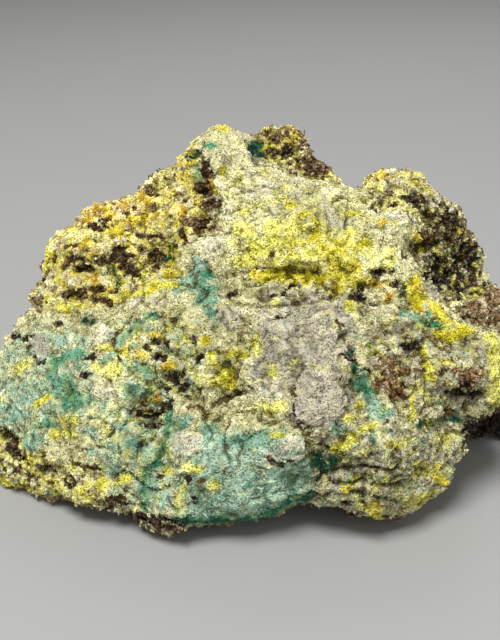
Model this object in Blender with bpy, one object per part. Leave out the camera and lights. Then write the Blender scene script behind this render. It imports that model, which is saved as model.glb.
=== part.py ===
"""Uranophane and kasolite specimen: one broken piece of ore that rests on its own underside.

Two masses grown together make the piece. The plate is the pale crusted slab in front, and the
back mass is the dark knobbly rock that shows beside and above it. Both are drawn on a drawing
plane that leans back by LEAN and faces the eye: u runs to the right, v up the plane, and w out
of it towards the eye. Everything is in millimetres there, and in metres in the model.
"""

from math import cos, pi, radians, sin

import bmesh
import bpy
import numpy as np
from mathutils import Vector, noise

MM = 0.001

# The drawing plane, and the eye that its outlines are drawn for
LEAN = radians(27)
EYE_DISTANCE = 117.0
PLANE_HEIGHT = 24.6

# Mesh and edges
SPOKES = 200
RINGS = 26
FORM_VOXEL = 0.75
TRIANGLES = 8800
PLATE_EDGE_RADIUS = 2.4
PLATE_THICKNESS = 15.0
BACK_EDGE_RADIUS = 3.2
BACK_FACE_DISTANCE = 21.0
BACK_RIM_BEHIND = 8.0
FAR_SIDE_FULLNESS = 0.6
INNERMOST_RING = 0.02
SPOT_SOFTNESS = 0.8

# Flat breaks on the far side: compass angle (0 points straight back, 90 to the right), upward
# angle, and how far each lies beyond the furthest point of the front in that direction
BREAKS = (
    (2, 4, 2.0), (-40, 16, 1.2), (34, 22, 1.0), (-20, -30, 1.5), (24, -38, 2.5),
    (-62, -22, 1.0), (66, -8, 1.2), (-8, 48, 0.8), (10, 70, 0.6),
)

# Underside: the hollow between the feet, how much is worn flat where it rests, and how near the
# level of the feet a point is moved onto it
ARCH_HEIGHT = 1.7
ARCH_CENTRE = (2.0, 2.0)
ARCH_REACH = (27.0, 13.0)
WORN_DEPTH = 1.6
SNAP_TO_FEET = 0.12
SAME_POINT = 0.0001

# Outline of the crusted plate, (u, v), clockwise from the left tip
PLATE_CENTRE = (2.0, -8.0)
PLATE_OUTLINE = (
    (-34.3, -13.5), (-33.4, -9.3), (-31.3, -5.5), (-30.3, -2.9), (-28.9, -1.4), (-27.4, -0.1),
    (-26.7, 1.7), (-24.0, 2.2), (-20.0, 1.6), (-16.0, 2.2), (-12.5, 3.6), (-10.2, 5.6),
    (-8.4, 7.4), (-8.0, 10.4), (-4.4, 11.3), (-4.0, 14.4), (-5.0, 17.0), (-5.6, 20.4),
    (-5.2, 23.0), (-4.2, 24.5), (-3.1, 24.9), (-1.2, 24.1), (-0.2, 22.7), (-0.6, 21.0),
    (1.0, 19.9), (3.6, 19.0), (6.4, 18.1), (9.4, 17.6), (11.6, 16.6), (14.2, 14.8),
    (17.0, 14.0), (19.4, 13.7), (20.6, 11.4), (20.3, 8.8), (20.6, 6.2), (22.6, 3.2),
    (24.3, 0.6), (26.6, -1.1), (29.0, -1.8), (31.3, -2.2), (32.8, -3.8), (33.3, -7.0),
    (32.9, -10.2), (31.0, -11.6), (28.8, -12.7), (28.2, -15.0), (26.7, -17.0), (25.6, -19.3),
    (24.2, -20.8), (23.4, -22.3), (21.2, -23.5), (18.0, -24.7), (15.2, -25.4), (13.0, -24.9),
    (10.8, -23.9), (8.8, -23.1), (5.7, -22.5), (4.2, -23.7), (2.0, -24.9), (-1.4, -26.0),
    (-3.6, -25.6), (-5.8, -26.2), (-7.7, -25.7), (-9.8, -26.9), (-12.8, -25.7), (-15.6, -24.5),
    (-18.9, -23.6), (-22.2, -22.8), (-26.6, -22.2), (-29.6, -21.2), (-32.4, -19.4), (-34.0, -16.8),
)

# Outline of the dark mass behind the plate, (u, v), clockwise from its left side
BACK_CENTRE = (4.0, 2.0)
BACK_OUTLINE = (
    (-27.6, -8.0), (-26.6, 0.4), (-26.2, 5.2), (-25.1, 8.9), (-23.4, 11.3), (-20.9, 12.9),
    (-19.9, 14.4), (-17.8, 14.6), (-16.2, 15.6), (-13.2, 16.8), (-11.2, 17.9), (-9.8, 19.2),
    (-8.2, 20.5), (-6.8, 22.4), (-5.2, 23.8), (-2.4, 24.2), (0.8, 22.9), (2.2, 23.7),
    (4.2, 24.1), (5.9, 23.6), (6.6, 22.2), (7.6, 20.7), (9.4, 20.2), (10.7, 18.9),
    (11.4, 17.5), (13.4, 16.4), (14.5, 17.4), (15.6, 18.5), (17.8, 19.2), (20.8, 18.8),
    (22.0, 17.9), (22.8, 16.2), (24.2, 14.8), (26.2, 13.8), (27.2, 12.2), (28.1, 10.4),
    (28.9, 8.8), (28.3, 7.0), (28.9, 5.4), (28.8, 4.0), (31.2, 3.1), (33.4, 1.0),
    (34.4, -2.4), (34.0, -6.6), (33.9, -10.4), (32.8, -14.2), (30.0, -14.7), (27.0, -15.2),
    (24.6, -18.4), (21.0, -21.0), (12.0, -21.4), (4.0, -21.0), (-8.0, -22.0), (-22.0, -19.0),
    (-29.0, -15.5), (-29.5, -11.0),
)

# Spot heights of the plate's crusted face, (u, v, w)
PLATE_SPOTS = (
    # From the peak down the upper slab
    (-3.2, 24.2, -4.6), (-1.0, 22.0, -3.0), (-4.2, 20.0, -2.8), (-3.0, 16.5, -0.6), (2.0, 18.6, -1.0),
    (8.0, 16.6, -0.8), (12.5, 14.6, -0.6), (18.0, 12.6, -0.8), (0.0, 14.0, 1.4), (6.0, 13.0, 2.2),
    (12.0, 11.0, 2.4), (16.0, 10.0, 1.6), (19.4, 9.0, 0.0), (-3.0, 9.5, 2.0), (2.0, 10.0, 3.8),
    (8.0, 9.0, 4.6), (13.0, 8.0, 4.6), (17.0, 6.5, 3.2),
    # The hollow under the lemon band, and the middle
    (-0.5, 6.2, 2.6), (4.0, 5.6, 3.2), (9.0, 5.4, 3.6), (13.5, 4.2, 3.2), (17.0, 3.0, 3.4),
    (-6.5, 5.0, 1.0), (-4.5, 1.5, 2.2), (0.0, 1.5, 4.8), (5.0, 0.5, 6.2), (10.0, 0.0, 6.4),
    (15.0, -0.5, 5.8), (18.5, -1.0, 4.6), (-10.5, 3.4, 0.4), (-12.0, 0.0, 1.8),
    # The left wing, which falls back to its tip
    (-16.0, -1.5, 1.2), (-20.0, -1.5, -0.8), (-24.5, 0.0, -3.4), (-28.0, -3.0, -5.4),
    (-22.0, -6.0, -0.4), (-27.0, -9.0, -3.6), (-31.5, -11.0, -7.4), (-33.5, -15.0, -10.4),
    (-20.0, -12.0, 1.6), (-25.5, -15.0, -1.6), (-30.0, -18.0, -6.0), (-24.0, -20.0, -2.2),
    (-17.0, -18.0, 3.6), (-16.0, -7.0, 2.6), (-12.0, -5.0, 4.0),
    # The lower middle, which stands out furthest
    (-7.0, -3.5, 4.2), (-2.0, -5.0, 5.4), (-13.0, -11.0, 3.0), (-9.0, -10.5, 5.0),
    (-4.0, -11.0, 6.0), (1.0, -10.0, 7.4), (6.0, -9.0, 8.2), (10.0, -9.0, 8.6), (14.0, -8.0, 7.8),
    (-14.5, -15.0, 4.4), (-10.3, -15.5, 5.2), (-6.0, -16.0, 6.8), (0.0, -16.0, 8.0),
    (5.0, -16.0, 8.8), (-12.8, -21.0, 4.8), (-7.0, -21.0, 6.4), (-1.0, -21.5, 6.6),
    (3.4, -21.0, 5.2), (6.4, -20.4, 4.0),
    # The right block, its yellow ridge and its lip
    (21.3, 4.4, 1.6), (22.6, 1.4, 3.0), (25.0, -1.2, 3.2), (28.4, -2.8, 2.4), (31.4, -3.8, 0.8),
    (18.5, -5.0, 6.6), (21.0, -4.0, 5.4), (24.0, -5.5, 6.0), (28.0, -6.5, 5.0), (31.4, -7.5, 2.4),
    (17.0, -11.0, 8.0), (21.5, -9.0, 6.6), (25.5, -10.2, 4.4), (30.0, -10.4, 2.0), (23.0, -12.6, 5.4),
    # The bulge at the lower right
    (11.0, -15.5, 8.0), (16.0, -15.5, 8.2), (21.0, -15.0, 6.6), (26.0, -15.0, 2.2),
    (10.0, -20.5, 5.4), (15.0, -20.5, 7.0), (20.0, -19.5, 5.6), (24.0, -19.0, 2.4),
    (14.5, -24.0, 3.4), (20.0, -23.0, 2.0), (-10.0, -25.6, 3.4), (-3.0, -25.0, 3.4), (-20.0, -22.5, 1.0),
)

# Spot heights of the front of the back mass, (u, v, w)
BACK_SPOTS = (
    # The upper left shoulder
    (-8.0, 20.0, -6.0), (-5.5, 22.4, -5.6), (-5.4, 17.6, -4.6), (-6.4, 13.4, -3.6), (-9.0, 16.6, -4.4),
    (-12.0, 15.6, -5.6), (-16.0, 13.8, -6.6), (-19.4, 13.0, -7.0), (-23.0, 10.2, -8.2), (-25.4, 6.6, -9.0),
    (-15.0, 10.4, -4.6), (-10.4, 12.0, -3.4), (-20.0, 10.0, -5.4), (-12.0, 7.6, -3.4), (-9.0, 8.4, -2.4),
    (-20.4, 6.2, -5.6), (-15.6, 6.0, -3.8), (-12.2, 4.6, -1.8), (-25.4, 3.4, -7.0), (-22.0, 4.0, -4.8),
    (-17.0, 2.8, -1.8), (-24.0, 0.4, -4.8),
    # The knobs along the top
    (-1.0, 22.8, -7.6), (1.4, 21.4, -7.6), (3.4, 22.8, -6.6), (5.8, 22.6, -6.8), (5.0, 20.4, -5.6),
    (8.6, 19.4, -5.8), (10.6, 18.2, -6.4), (13.0, 16.0, -5.4),
    # The right lobe
    (15.6, 17.6, -4.6), (18.0, 18.2, -5.0), (17.4, 16.4, -2.8), (20.6, 17.4, -5.0), (21.4, 15.8, -4.6),
    (17.0, 14.9, -2.4), (19.6, 14.6, -2.8), (23.4, 14.0, -6.4), (26.0, 12.8, -9.4),
    # Its dark side, which turns away
    (21.6, 12.0, -3.6), (24.0, 11.0, -6.2), (27.2, 10.4, -10.4), (22.0, 8.2, -5.0), (25.0, 8.0, -8.2),
    (28.0, 7.8, -11.6), (22.6, 5.2, -6.6), (25.4, 5.0, -9.6), (28.2, 4.8, -11.6),
    # The brown ledge and the foot under the lip
    (25.2, 1.8, -6.4), (28.0, 1.4, -7.4), (31.0, 2.0, -9.4), (30.4, -0.8, -7.4), (33.2, 0.0, -10.8),
    (33.8, -5.0, -12.0), (33.4, -9.6, -13.4), (32.0, -13.4, -16.6), (29.4, -13.4, -16.0),
    (27.4, -14.4, -15.4),
    # Hidden under the plate
    (0.0, 15.0, -5.0), (10.0, 11.0, -4.4), (0.0, 0.0, -4.0), (16.0, 2.0, -4.0), (-14.0, -5.0, -7.0),
    (0.0, -12.0, -5.0), (15.0, -10.0, -5.0), (20.0, -16.0, -9.0), (5.0, -18.5, -7.0), (-12.0, -17.0, -8.0),
    (-24.0, -10.0, -10.0),
)

# Flakes that stand proud of the plate: height, then corners (u, v)
FLAKES = (
    (1.1, ((5.3, -7.6), (7.2, -5.8), (9.4, -5.6), (11.0, -8.0), (12.8, -9.6), (12.2, -12.0),
           (9.4, -13.0), (6.3, -12.6), (5.3, -10.2))),
    (1.3, ((2.1, -16.4), (3.4, -15.2), (5.0, -14.3), (7.0, -14.6), (7.2, -16.6), (5.2, -17.5),
           (3.4, -17.6))),
    (0.8, ((1.8, -1.0), (4.8, 1.8), (8.0, 1.4), (11.0, -0.5), (10.8, -4.4), (7.0, -5.4), (4.8, -8.8),
           (0.2, -8.2), (-0.4, -5.6), (1.7, -4.2))),
    (0.7, ((-9.7, -15.6), (-8.0, -14.0), (-5.8, -14.2), (-5.6, -15.8), (-7.5, -17.0))),
    (0.6, ((-20.6, -0.8), (-18.5, -0.1), (-16.8, -1.2), (-17.0, -3.0), (-18.6, -3.2), (-20.0, -2.3))),
    (0.9, ((16.2, 13.6), (18.8, 13.9), (20.0, 12.4), (19.2, 9.6), (16.8, 9.2), (15.6, 11.4))),
    (0.6, ((-2.2, 9.0), (-1.0, 12.4), (3.8, 12.6), (8.2, 11.6), (12.0, 9.4), (9.4, 6.8), (4.0, 7.2),
           (0.6, 7.0))),
    (0.9, ((23.8, -3.6), (26.6, -2.6), (29.8, -3.8), (30.4, -6.6), (29.2, -8.6), (25.6, -8.2),
           (23.4, -6.4))),
)
FLAKE_EDGE = 0.45

# Grooves in the plate: depth, half width, then the line (u, v)
GROOVES = (
    (0.7, 0.7, ((-9.8, -12.0), (-10.0, -15.0), (-11.0, -18.0), (-12.8, -20.4), (-13.2, -23.6))),
    (0.5, 1.1, ((-1.6, 6.4), (3.0, 5.7), (8.0, 6.0), (12.0, 5.6), (15.0, 4.6))),
    (0.9, 0.6, ((-5.0, -13.0), (-4.0, -11.2), (-2.2, -9.2), (-0.8, -8.2))),
    (0.8, 0.8, ((-7.4, 4.6), (-5.6, 2.4), (-4.6, 0.4))),
    (0.7, 0.6, ((12.2, -4.0), (13.4, -7.0), (14.2, -9.4), (15.4, -11.0))),
    (0.8, 0.7, ((20.8, -12.8), (24.0, -12.9), (26.8, -11.4))),
    (0.7, 0.6, ((8.6, -18.6), (12.0, -19.2), (16.0, -20.2), (19.6, -20.3))),
    (0.8, 0.6, ((-15.2, -13.4), (-13.6, -12.2), (-11.4, -11.6))),
)

# Knobs (positive) and pits (negative) of either mass: height, radius, then the centre (u, v)
PLATE_BUMPS = (
    (0.8, 1.3, (-3.2, 24.2)), (-1.6, 1.6, (-8.8, -7.0)), (-1.2, 1.3, (-7.8, -8.6)),
    (-1.0, 1.0, (-6.3, -4.7)), (-1.9, 2.2, (-12.7, -11.3)), (-1.0, 0.9, (-19.7, -4.5)),
    (-0.9, 0.8, (-20.2, -6.8)), (-1.1, 0.9, (13.9, 4.2)), (-1.1, 1.6, (16.4, 4.4)),
    (-1.5, 1.6, (20.0, -3.4)), (-1.6, 2.2, (27.4, -9.4)), (-1.0, 1.5, (24.6, -11.8)),
    (-1.2, 1.2, (9.8, -17.4)), (0.9, 0.9, (8.9, -17.2)), (-0.9, 1.0, (-28.2, -2.3)),
    (-1.4, 1.4, (-30.6, -14.6)), (-1.2, 1.1, (-29.2, -16.6)), (0.8, 1.6, (23.2, -19.6)),
    (0.9, 1.5, (15.4, -23.2)), (0.8, 1.5, (21.0, -21.8)), (-0.9, 1.2, (12.0, -23.0)),
    (-0.9, 1.1, (-25.8, -18.2)), (-0.8, 1.2, (-20.4, -18.4)), (0.7, 1.4, (-22.6, -12.2)),
    (0.6, 1.2, (-22.4, -4.4)), (-0.9, 1.3, (18.2, -8.0)), (-0.8, 1.0, (-7.6, -20.0)),
    (0.8, 1.5, (13.4, -14.0)),
)
BACK_BUMPS = (
    (1.2, 1.5, (5.5, 22.8)), (1.0, 1.4, (3.0, 22.9)), (0.9, 1.1, (6.9, 21.0)),
    (1.2, 1.8, (9.0, 19.5)), (-1.6, 1.2, (1.4, 21.4)), (-1.2, 0.8, (17.4, 16.1)),
    (-1.4, 1.0, (17.6, 14.4)), (-1.5, 1.3, (20.6, 15.2)), (1.0, 1.3, (23.2, 14.9)),
    (1.1, 1.2, (25.4, 13.4)), (1.1, 1.3, (28.2, 9.2)), (-1.6, 1.3, (27.4, 7.8)),
    (1.0, 1.3, (28.0, 5.2)), (-1.8, 2.4, (24.2, 4.8)), (-1.4, 1.6, (25.2, 9.4)),
    (1.0, 1.4, (22.0, 10.4)), (0.9, 1.1, (-16.8, 11.5)), (1.0, 1.5, (-20.2, 10.0)),
    (0.9, 1.3, (-19.2, 14.0)), (-1.5, 2.0, (-20.6, 6.6)), (-1.3, 2.2, (-16.0, 7.2)),
    (-1.2, 1.5, (-12.0, 8.4)), (0.9, 1.3, (-13.4, 14.6)), (0.9, 1.2, (-8.6, 19.4)),
    (-1.4, 1.3, (-5.4, 16.4)), (-1.3, 1.5, (-5.6, 12.4)), (1.0, 1.6, (-12.6, 4.2)),
    (-1.1, 1.2, (-10.0, 14.4)), (0.8, 1.4, (-24.0, 5.6)), (-1.1, 1.5, (-21.6, 3.2)),
    (0.9, 1.3, (29.6, 1.0)), (0.8, 1.2, (26.6, 1.4)),
)

# Rough surface: (size of the forms, height), the large ones first
PLATE_ROUGHNESS = ((9.0, 0.6), (3.6, 0.45), (1.7, 0.25))
BACK_ROUGHNESS = ((11.0, 1.6), (4.6, 0.9), (2.2, 0.45))
ROUGHNESS_START = (0.0, 5.0, 3.0)
LAYER_SHIFT = (17.0, 0.0, 0.0)
KNOB_SIZE = 3.4
KNOB_HEIGHT = 1.2
KNOB_RISE = 0.3
KNOB_GAP = 1.1

# How far off the drawn face the plate's crust still reaches, and where it begins to give way
PLATE_SKIN = 2.2
PLATE_SKIN_FADES = 1.1

# Ore, as one even colour
ORE_COLOUR = (0.55, 0.53, 0.26, 1.0)
ORE_ROUGHNESS = 0.85


def to_model(u, v, w):
    """Points of the drawing plane as model coordinates, in millimetres."""
    taper = 1.0 - w / EYE_DISTANCE
    x = u * taper
    y = v * taper * sin(LEAN) - w * cos(LEAN)
    z = PLANE_HEIGHT + v * taper * cos(LEAN) + w * sin(LEAN)
    return np.stack([x, y, z], -1)


def to_drawing(points):
    """Model coordinates, in millimetres, as (u, v, w) on the drawing plane."""
    x, y, z = points[:, 0], points[:, 1], points[:, 2] - PLANE_HEIGHT
    w = -y * cos(LEAN) + z * sin(LEAN)
    taper = 1.0 - w / EYE_DISTANCE
    return np.stack([x / taper, (y * sin(LEAN) + z * cos(LEAN)) / taper, w], -1)


def surface_through(spots):
    """A function of (u, v) whose height goes through every spot height."""
    spots = np.array(spots)
    places, heights = spots[:, :2], spots[:, 2]

    def reach(a, b):
        apart = np.linalg.norm(a[:, None, :] - b[None, :, :], axis=2)
        return np.sqrt(apart**2 + SPOT_SOFTNESS**2)

    mean = heights.mean()
    weights = np.linalg.solve(reach(places, places), heights - mean)
    return lambda uv: mean + reach(uv, places) @ weights


def smooth_step(value, low, high):
    share = np.clip((value - low) / (high - low), 0.0, 1.0)
    return share * share * (3.0 - 2.0 * share)


def distance_to_line(uv, line, closed=False):
    """Distance of each point from a line drawn through corners."""
    corners = np.array(line + line[:1] if closed else line)
    best = np.full(len(uv), np.inf)
    for start, end in zip(corners[:-1], corners[1:]):
        along = end - start
        share = np.clip((uv - start) @ along / (along @ along), 0.0, 1.0)
        best = np.minimum(best, np.linalg.norm(uv - start - share[:, None] * along, axis=1))
    return best


def inside(uv, corners):
    """Whether each point lies inside a closed outline."""
    found = np.zeros(len(uv), bool)
    ring = np.array(corners)
    for (u0, v0), (u1, v1) in zip(ring, np.roll(ring, -1, axis=0)):
        crosses = (v0 > uv[:, 1]) != (v1 > uv[:, 1])
        if v0 != v1:
            found ^= crosses & (uv[:, 0] < (u1 - u0) * (uv[:, 1] - v0) / (v1 - v0) + u0)
    return found


def bumps_at(uv, bumps):
    """Height that the knobs and pits add at each point."""
    total = np.zeros(len(uv))
    for height, radius, centre in bumps:
        apart = np.linalg.norm(uv - np.array(centre), axis=1) / radius
        total += height * np.clip(1.0 - apart**2, 0.0, 1.0)
    return total


def flakes_at(uv):
    total = np.zeros(len(uv))
    for height, corners in FLAKES:
        depth = distance_to_line(uv, corners, closed=True) * np.where(inside(uv, corners), 1.0, -1.0)
        total += height * smooth_step(depth, -FLAKE_EDGE, FLAKE_EDGE)
    return total


def grooves_at(uv):
    total = np.zeros(len(uv))
    for depth, half_width, line in GROOVES:
        total -= depth * (1.0 - smooth_step(distance_to_line(uv, line), 0.0, 2.0 * half_width))
    return total


def plate_relief(uv):
    return surface_through(PLATE_SPOTS)(uv) + flakes_at(uv) + grooves_at(uv) + bumps_at(uv, PLATE_BUMPS)


def back_relief(uv):
    return surface_through(BACK_SPOTS)(uv) + bumps_at(uv, BACK_BUMPS)


def plate_depth(uv):
    return np.full(len(uv), PLATE_THICKNESS)


def back_depth(uv):
    """Depth of the back mass behind its rim, so that its far side stands upright."""
    return (BACK_FACE_DISTANCE - uv[:, 1] * sin(LEAN)) / cos(LEAN) - BACK_RIM_BEHIND


def even_outline(corners):
    """The outline as SPOKES points, spaced evenly along it."""
    ring = np.array(corners + corners[:1])
    steps = np.linalg.norm(np.diff(ring, axis=0), axis=1)
    along = np.concatenate([[0.0], np.cumsum(steps)])
    wanted = np.linspace(0.0, along[-1], SPOKES, endpoint=False)
    return np.stack([np.interp(wanted, along, ring[:, axis]) for axis in (0, 1)], -1)


def mass(bm, outline, centre, relief, depth, edge_radius):
    """One closed mass: a front that follows its relief, a rounded rim and a domed far side.

    Returns the points of the front."""
    rim = even_outline(outline)
    centre = np.array(centre)
    rim_height = relief(rim) - edge_radius
    rings = []
    for side, steps in ((1, range(RINGS)), (-1, range(RINGS - 1, 0, -1))):
        for step in steps:
            turn = max(step, INNERMOST_RING) / (RINGS - 1) if side > 0 else step / RINGS
            share = sin(pi / 2 * turn)
            uv = centre + share * (rim - centre)
            if side > 0:
                from_rim = (1.0 - share) * np.linalg.norm(rim - centre, axis=1)
                fall = np.clip(1.0 - from_rim / edge_radius, 0.0, 1.0)
                w = relief(uv) - edge_radius * (1.0 - np.sqrt(1.0 - fall**2))
            else:
                level = share * rim_height + (1.0 - share) * rim_height.mean()
                w = level - depth(uv) * (1.0 - share**2) ** FAR_SIDE_FULLNESS
            points = to_model(uv[:, 0], uv[:, 1], w) * MM
            rings.append([bm.verts.new(point) for point in points])
    for ring, following in zip(rings[:-1], rings[1:]):
        for index in range(SPOKES):
            after = (index + 1) % SPOKES
            bm.faces.new((ring[index], ring[after], following[after], following[index]))
    bm.faces.new(rings[0][::-1])
    bm.faces.new(rings[-1])
    return [vert for ring in rings[:RINGS] for vert in ring]


def break_away(bm, front):
    """Pushes what stands past each flat break back onto it. The front never stands past one."""
    for turn, tilt, clearance in BREAKS:
        turn, tilt = radians(turn), radians(tilt)
        outward = Vector((sin(turn) * cos(tilt), cos(turn) * cos(tilt), sin(tilt)))
        limit = max(vert.co.dot(outward) for vert in front) + clearance * MM
        for vert in bm.verts:
            past = vert.co.dot(outward) - limit
            if past > 0.0:
                vert.co -= outward * past


def stand_on_ground(bm):
    """Lifts what lies below the ground onto an underside with a shallow arch between its feet."""
    for vert in bm.verts:
        x, y = vert.co.x / MM, vert.co.y / MM
        across = (x - ARCH_CENTRE[0]) / ARCH_REACH[0]
        along = (y - ARCH_CENTRE[1]) / ARCH_REACH[1]
        floor = ARCH_HEIGHT * max(0.0, 1.0 - (across**2 + along**2))
        vert.co.z = max(vert.co.z, floor * MM)


def fused(obj):
    """The overlapping masses as one skin of even faces."""
    remesh = obj.modifiers.new("fuse", "REMESH")
    remesh.mode = "VOXEL"
    remesh.voxel_size = FORM_VOXEL * MM
    return evaluated_mesh(obj)


def evaluated_mesh(obj):
    """The object's mesh with its modifiers in it."""
    graph = bpy.context.evaluated_depsgraph_get()
    mesh = bpy.data.meshes.new_from_object(obj.evaluated_get(graph))
    obj.modifiers.clear()
    obj.data = mesh
    return mesh


def fractal(point, layers):
    """Layered noise at a point, each layer with its own size and height, in millimetres."""
    total = 0.0
    for index, (size, height) in enumerate(layers):
        start = Vector(ROUGHNESS_START) + index * Vector(LAYER_SHIFT)
        total += height * noise.noise(Vector(point) / size + start)
    return total


def knobs(point):
    """Rounded knobs where the ore broke along its grains."""
    nearest = noise.voronoi(Vector(point) / KNOB_SIZE)[0][0]
    return KNOB_HEIGHT * (KNOB_RISE - min(nearest, KNOB_GAP))


def roughen(mesh):
    """Pushes the skin in and out: fine and shallow on the plate, coarse and knobbly elsewhere."""
    count = len(mesh.vertices)
    points = np.empty(count * 3)
    mesh.vertices.foreach_get("co", points)
    points = points.reshape(-1, 3) / MM
    normals = np.array([vert.normal for vert in mesh.vertices])
    drawn = to_drawing(points)
    off_plate = np.abs(drawn[:, 2] - plate_relief(drawn[:, :2]))
    near_plate = 1.0 - smooth_step(off_plate, PLATE_SKIN_FADES, PLATE_SKIN)
    on_plate = inside(drawn[:, :2], PLATE_OUTLINE) * near_plate
    for index in range(count):
        crusted = on_plate[index]
        shift = crusted * fractal(points[index], PLATE_ROUGHNESS)
        if crusted < 1.0:
            shift += (1.0 - crusted) * (fractal(points[index], BACK_ROUGHNESS) + knobs(points[index]))
        points[index] += normals[index] * shift
    mesh.vertices.foreach_set("co", (points * MM).ravel())
    mesh.update()


def thinned(obj):
    """Fewer triangles, spent where the skin bends."""
    decimate = obj.modifiers.new("thin", "DECIMATE")
    decimate.ratio = TRIANGLES / (2.0 * len(obj.data.polygons))
    decimate.use_collapse_triangulate = True
    return evaluated_mesh(obj)


def wear_flat(mesh):
    """Cuts the lowest points to one level and moves the origin to the middle of the footprint."""
    bm = bmesh.new()
    bm.from_mesh(mesh)
    low = min(vert.co.z for vert in bm.verts) + WORN_DEPTH * MM
    for vert in bm.verts:
        if abs(vert.co.z - low) < SNAP_TO_FEET * MM:
            vert.co.z = low
    everything = bm.verts[:] + bm.edges[:] + bm.faces[:]
    cut = bmesh.ops.bisect_plane(
        bm, geom=everything, plane_co=(0, 0, low), plane_no=(0, 0, -1),
        dist=SAME_POINT * MM, clear_outer=True,
    )
    rim = [item for item in cut["geom_cut"] if isinstance(item, bmesh.types.BMEdge)]
    bmesh.ops.holes_fill(bm, edges=rim)
    bmesh.ops.triangulate(bm, faces=bm.faces)
    bmesh.ops.recalc_face_normals(bm, faces=bm.faces)
    low_corner = [min(vert.co[axis] for vert in bm.verts) for axis in range(3)]
    high_corner = [max(vert.co[axis] for vert in bm.verts) for axis in range(3)]
    middle = [(low_corner[axis] + high_corner[axis]) / 2 for axis in range(2)]
    bmesh.ops.translate(bm, verts=bm.verts, vec=(-middle[0], -middle[1], -low_corner[2]))
    bm.to_mesh(mesh)
    bm.free()
    mesh.update()


def ore_material():
    material = bpy.data.materials.new("yellow and green ore")
    material.use_nodes = True
    shader = material.node_tree.nodes["Principled BSDF"]
    shader.inputs["Base Color"].default_value = ORE_COLOUR
    shader.inputs["Roughness"].default_value = ORE_ROUGHNESS
    shader.inputs["Metallic"].default_value = 0.0
    return material


def make_specimen():
    bm = bmesh.new()
    front = mass(bm, PLATE_OUTLINE, PLATE_CENTRE, plate_relief, plate_depth, PLATE_EDGE_RADIUS)
    front += mass(bm, BACK_OUTLINE, BACK_CENTRE, back_relief, back_depth, BACK_EDGE_RADIUS)
    break_away(bm, front)
    stand_on_ground(bm)
    bmesh.ops.recalc_face_normals(bm, faces=bm.faces)
    mesh = bpy.data.meshes.new("specimen")
    bm.to_mesh(mesh)
    bm.free()
    specimen = bpy.data.objects.new("specimen", mesh)
    bpy.context.scene.collection.objects.link(specimen)
    roughen(fused(specimen))
    wear_flat(thinned(specimen))
    specimen.data.materials.clear()
    specimen.data.materials.append(ore_material())
    return specimen


for leftover in list(bpy.data.objects):
    bpy.data.objects.remove(leftover, do_unlink=True)
make_specimen()
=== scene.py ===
"""The looks of the uranophane and kasolite specimen, laid out as a Blender add-on.

The rock body takes the solid's form and gets a finer skin. Crystals of each mineral grow on it.
Where a mineral lies is given on the drawing plane: u to the right, v up, w out of the plane
towards the eye, all in millimetres. The plane leans back and faces the camera.
"""

from math import cos, pi, radians, sin

import bmesh
import bpy
import numpy as np
from bpy.props import FloatProperty, FloatVectorProperty, IntProperty, PointerProperty
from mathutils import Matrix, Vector, noise


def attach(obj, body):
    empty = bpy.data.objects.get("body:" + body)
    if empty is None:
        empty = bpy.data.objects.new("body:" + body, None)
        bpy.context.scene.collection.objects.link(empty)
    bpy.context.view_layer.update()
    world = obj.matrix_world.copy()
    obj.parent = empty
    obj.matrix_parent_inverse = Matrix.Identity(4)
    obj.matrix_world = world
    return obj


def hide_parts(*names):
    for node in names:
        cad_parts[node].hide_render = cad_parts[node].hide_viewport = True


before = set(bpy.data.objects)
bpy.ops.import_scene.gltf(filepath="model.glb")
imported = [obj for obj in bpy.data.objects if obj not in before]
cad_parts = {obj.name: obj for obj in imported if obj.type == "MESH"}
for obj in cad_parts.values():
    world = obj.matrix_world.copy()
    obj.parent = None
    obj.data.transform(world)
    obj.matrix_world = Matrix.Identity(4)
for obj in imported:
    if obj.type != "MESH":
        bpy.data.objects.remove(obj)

bl_info = {
    "name": "Uranophane and kasolite specimen",
    "version": (1, 0, 0),
    "blender": (4, 5, 0),
    "location": "3D View > Sidebar > Ore",
    "description": "Builds the crusted ore specimen and its studio",
    "category": "Add Mesh",
}

MM = 0.001
NODE = "specimen"
BODY = "root"

# The drawing plane: its middle in the frame, how far it leans back, and the eye's distance
PLANE_MIDDLE = (-0.447, -5.32, 24.438)
LEAN = radians(27)
EYE_DISTANCE = 117.0
PLANE_TALL = 80.0

# Minerals, each a family with a shade that runs along its colours
YELLOW, GREEN, DARK, PALE = "yellow", "green", "dark", "pale"
FAMILIES = (YELLOW, GREEN, DARK, PALE)

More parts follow.
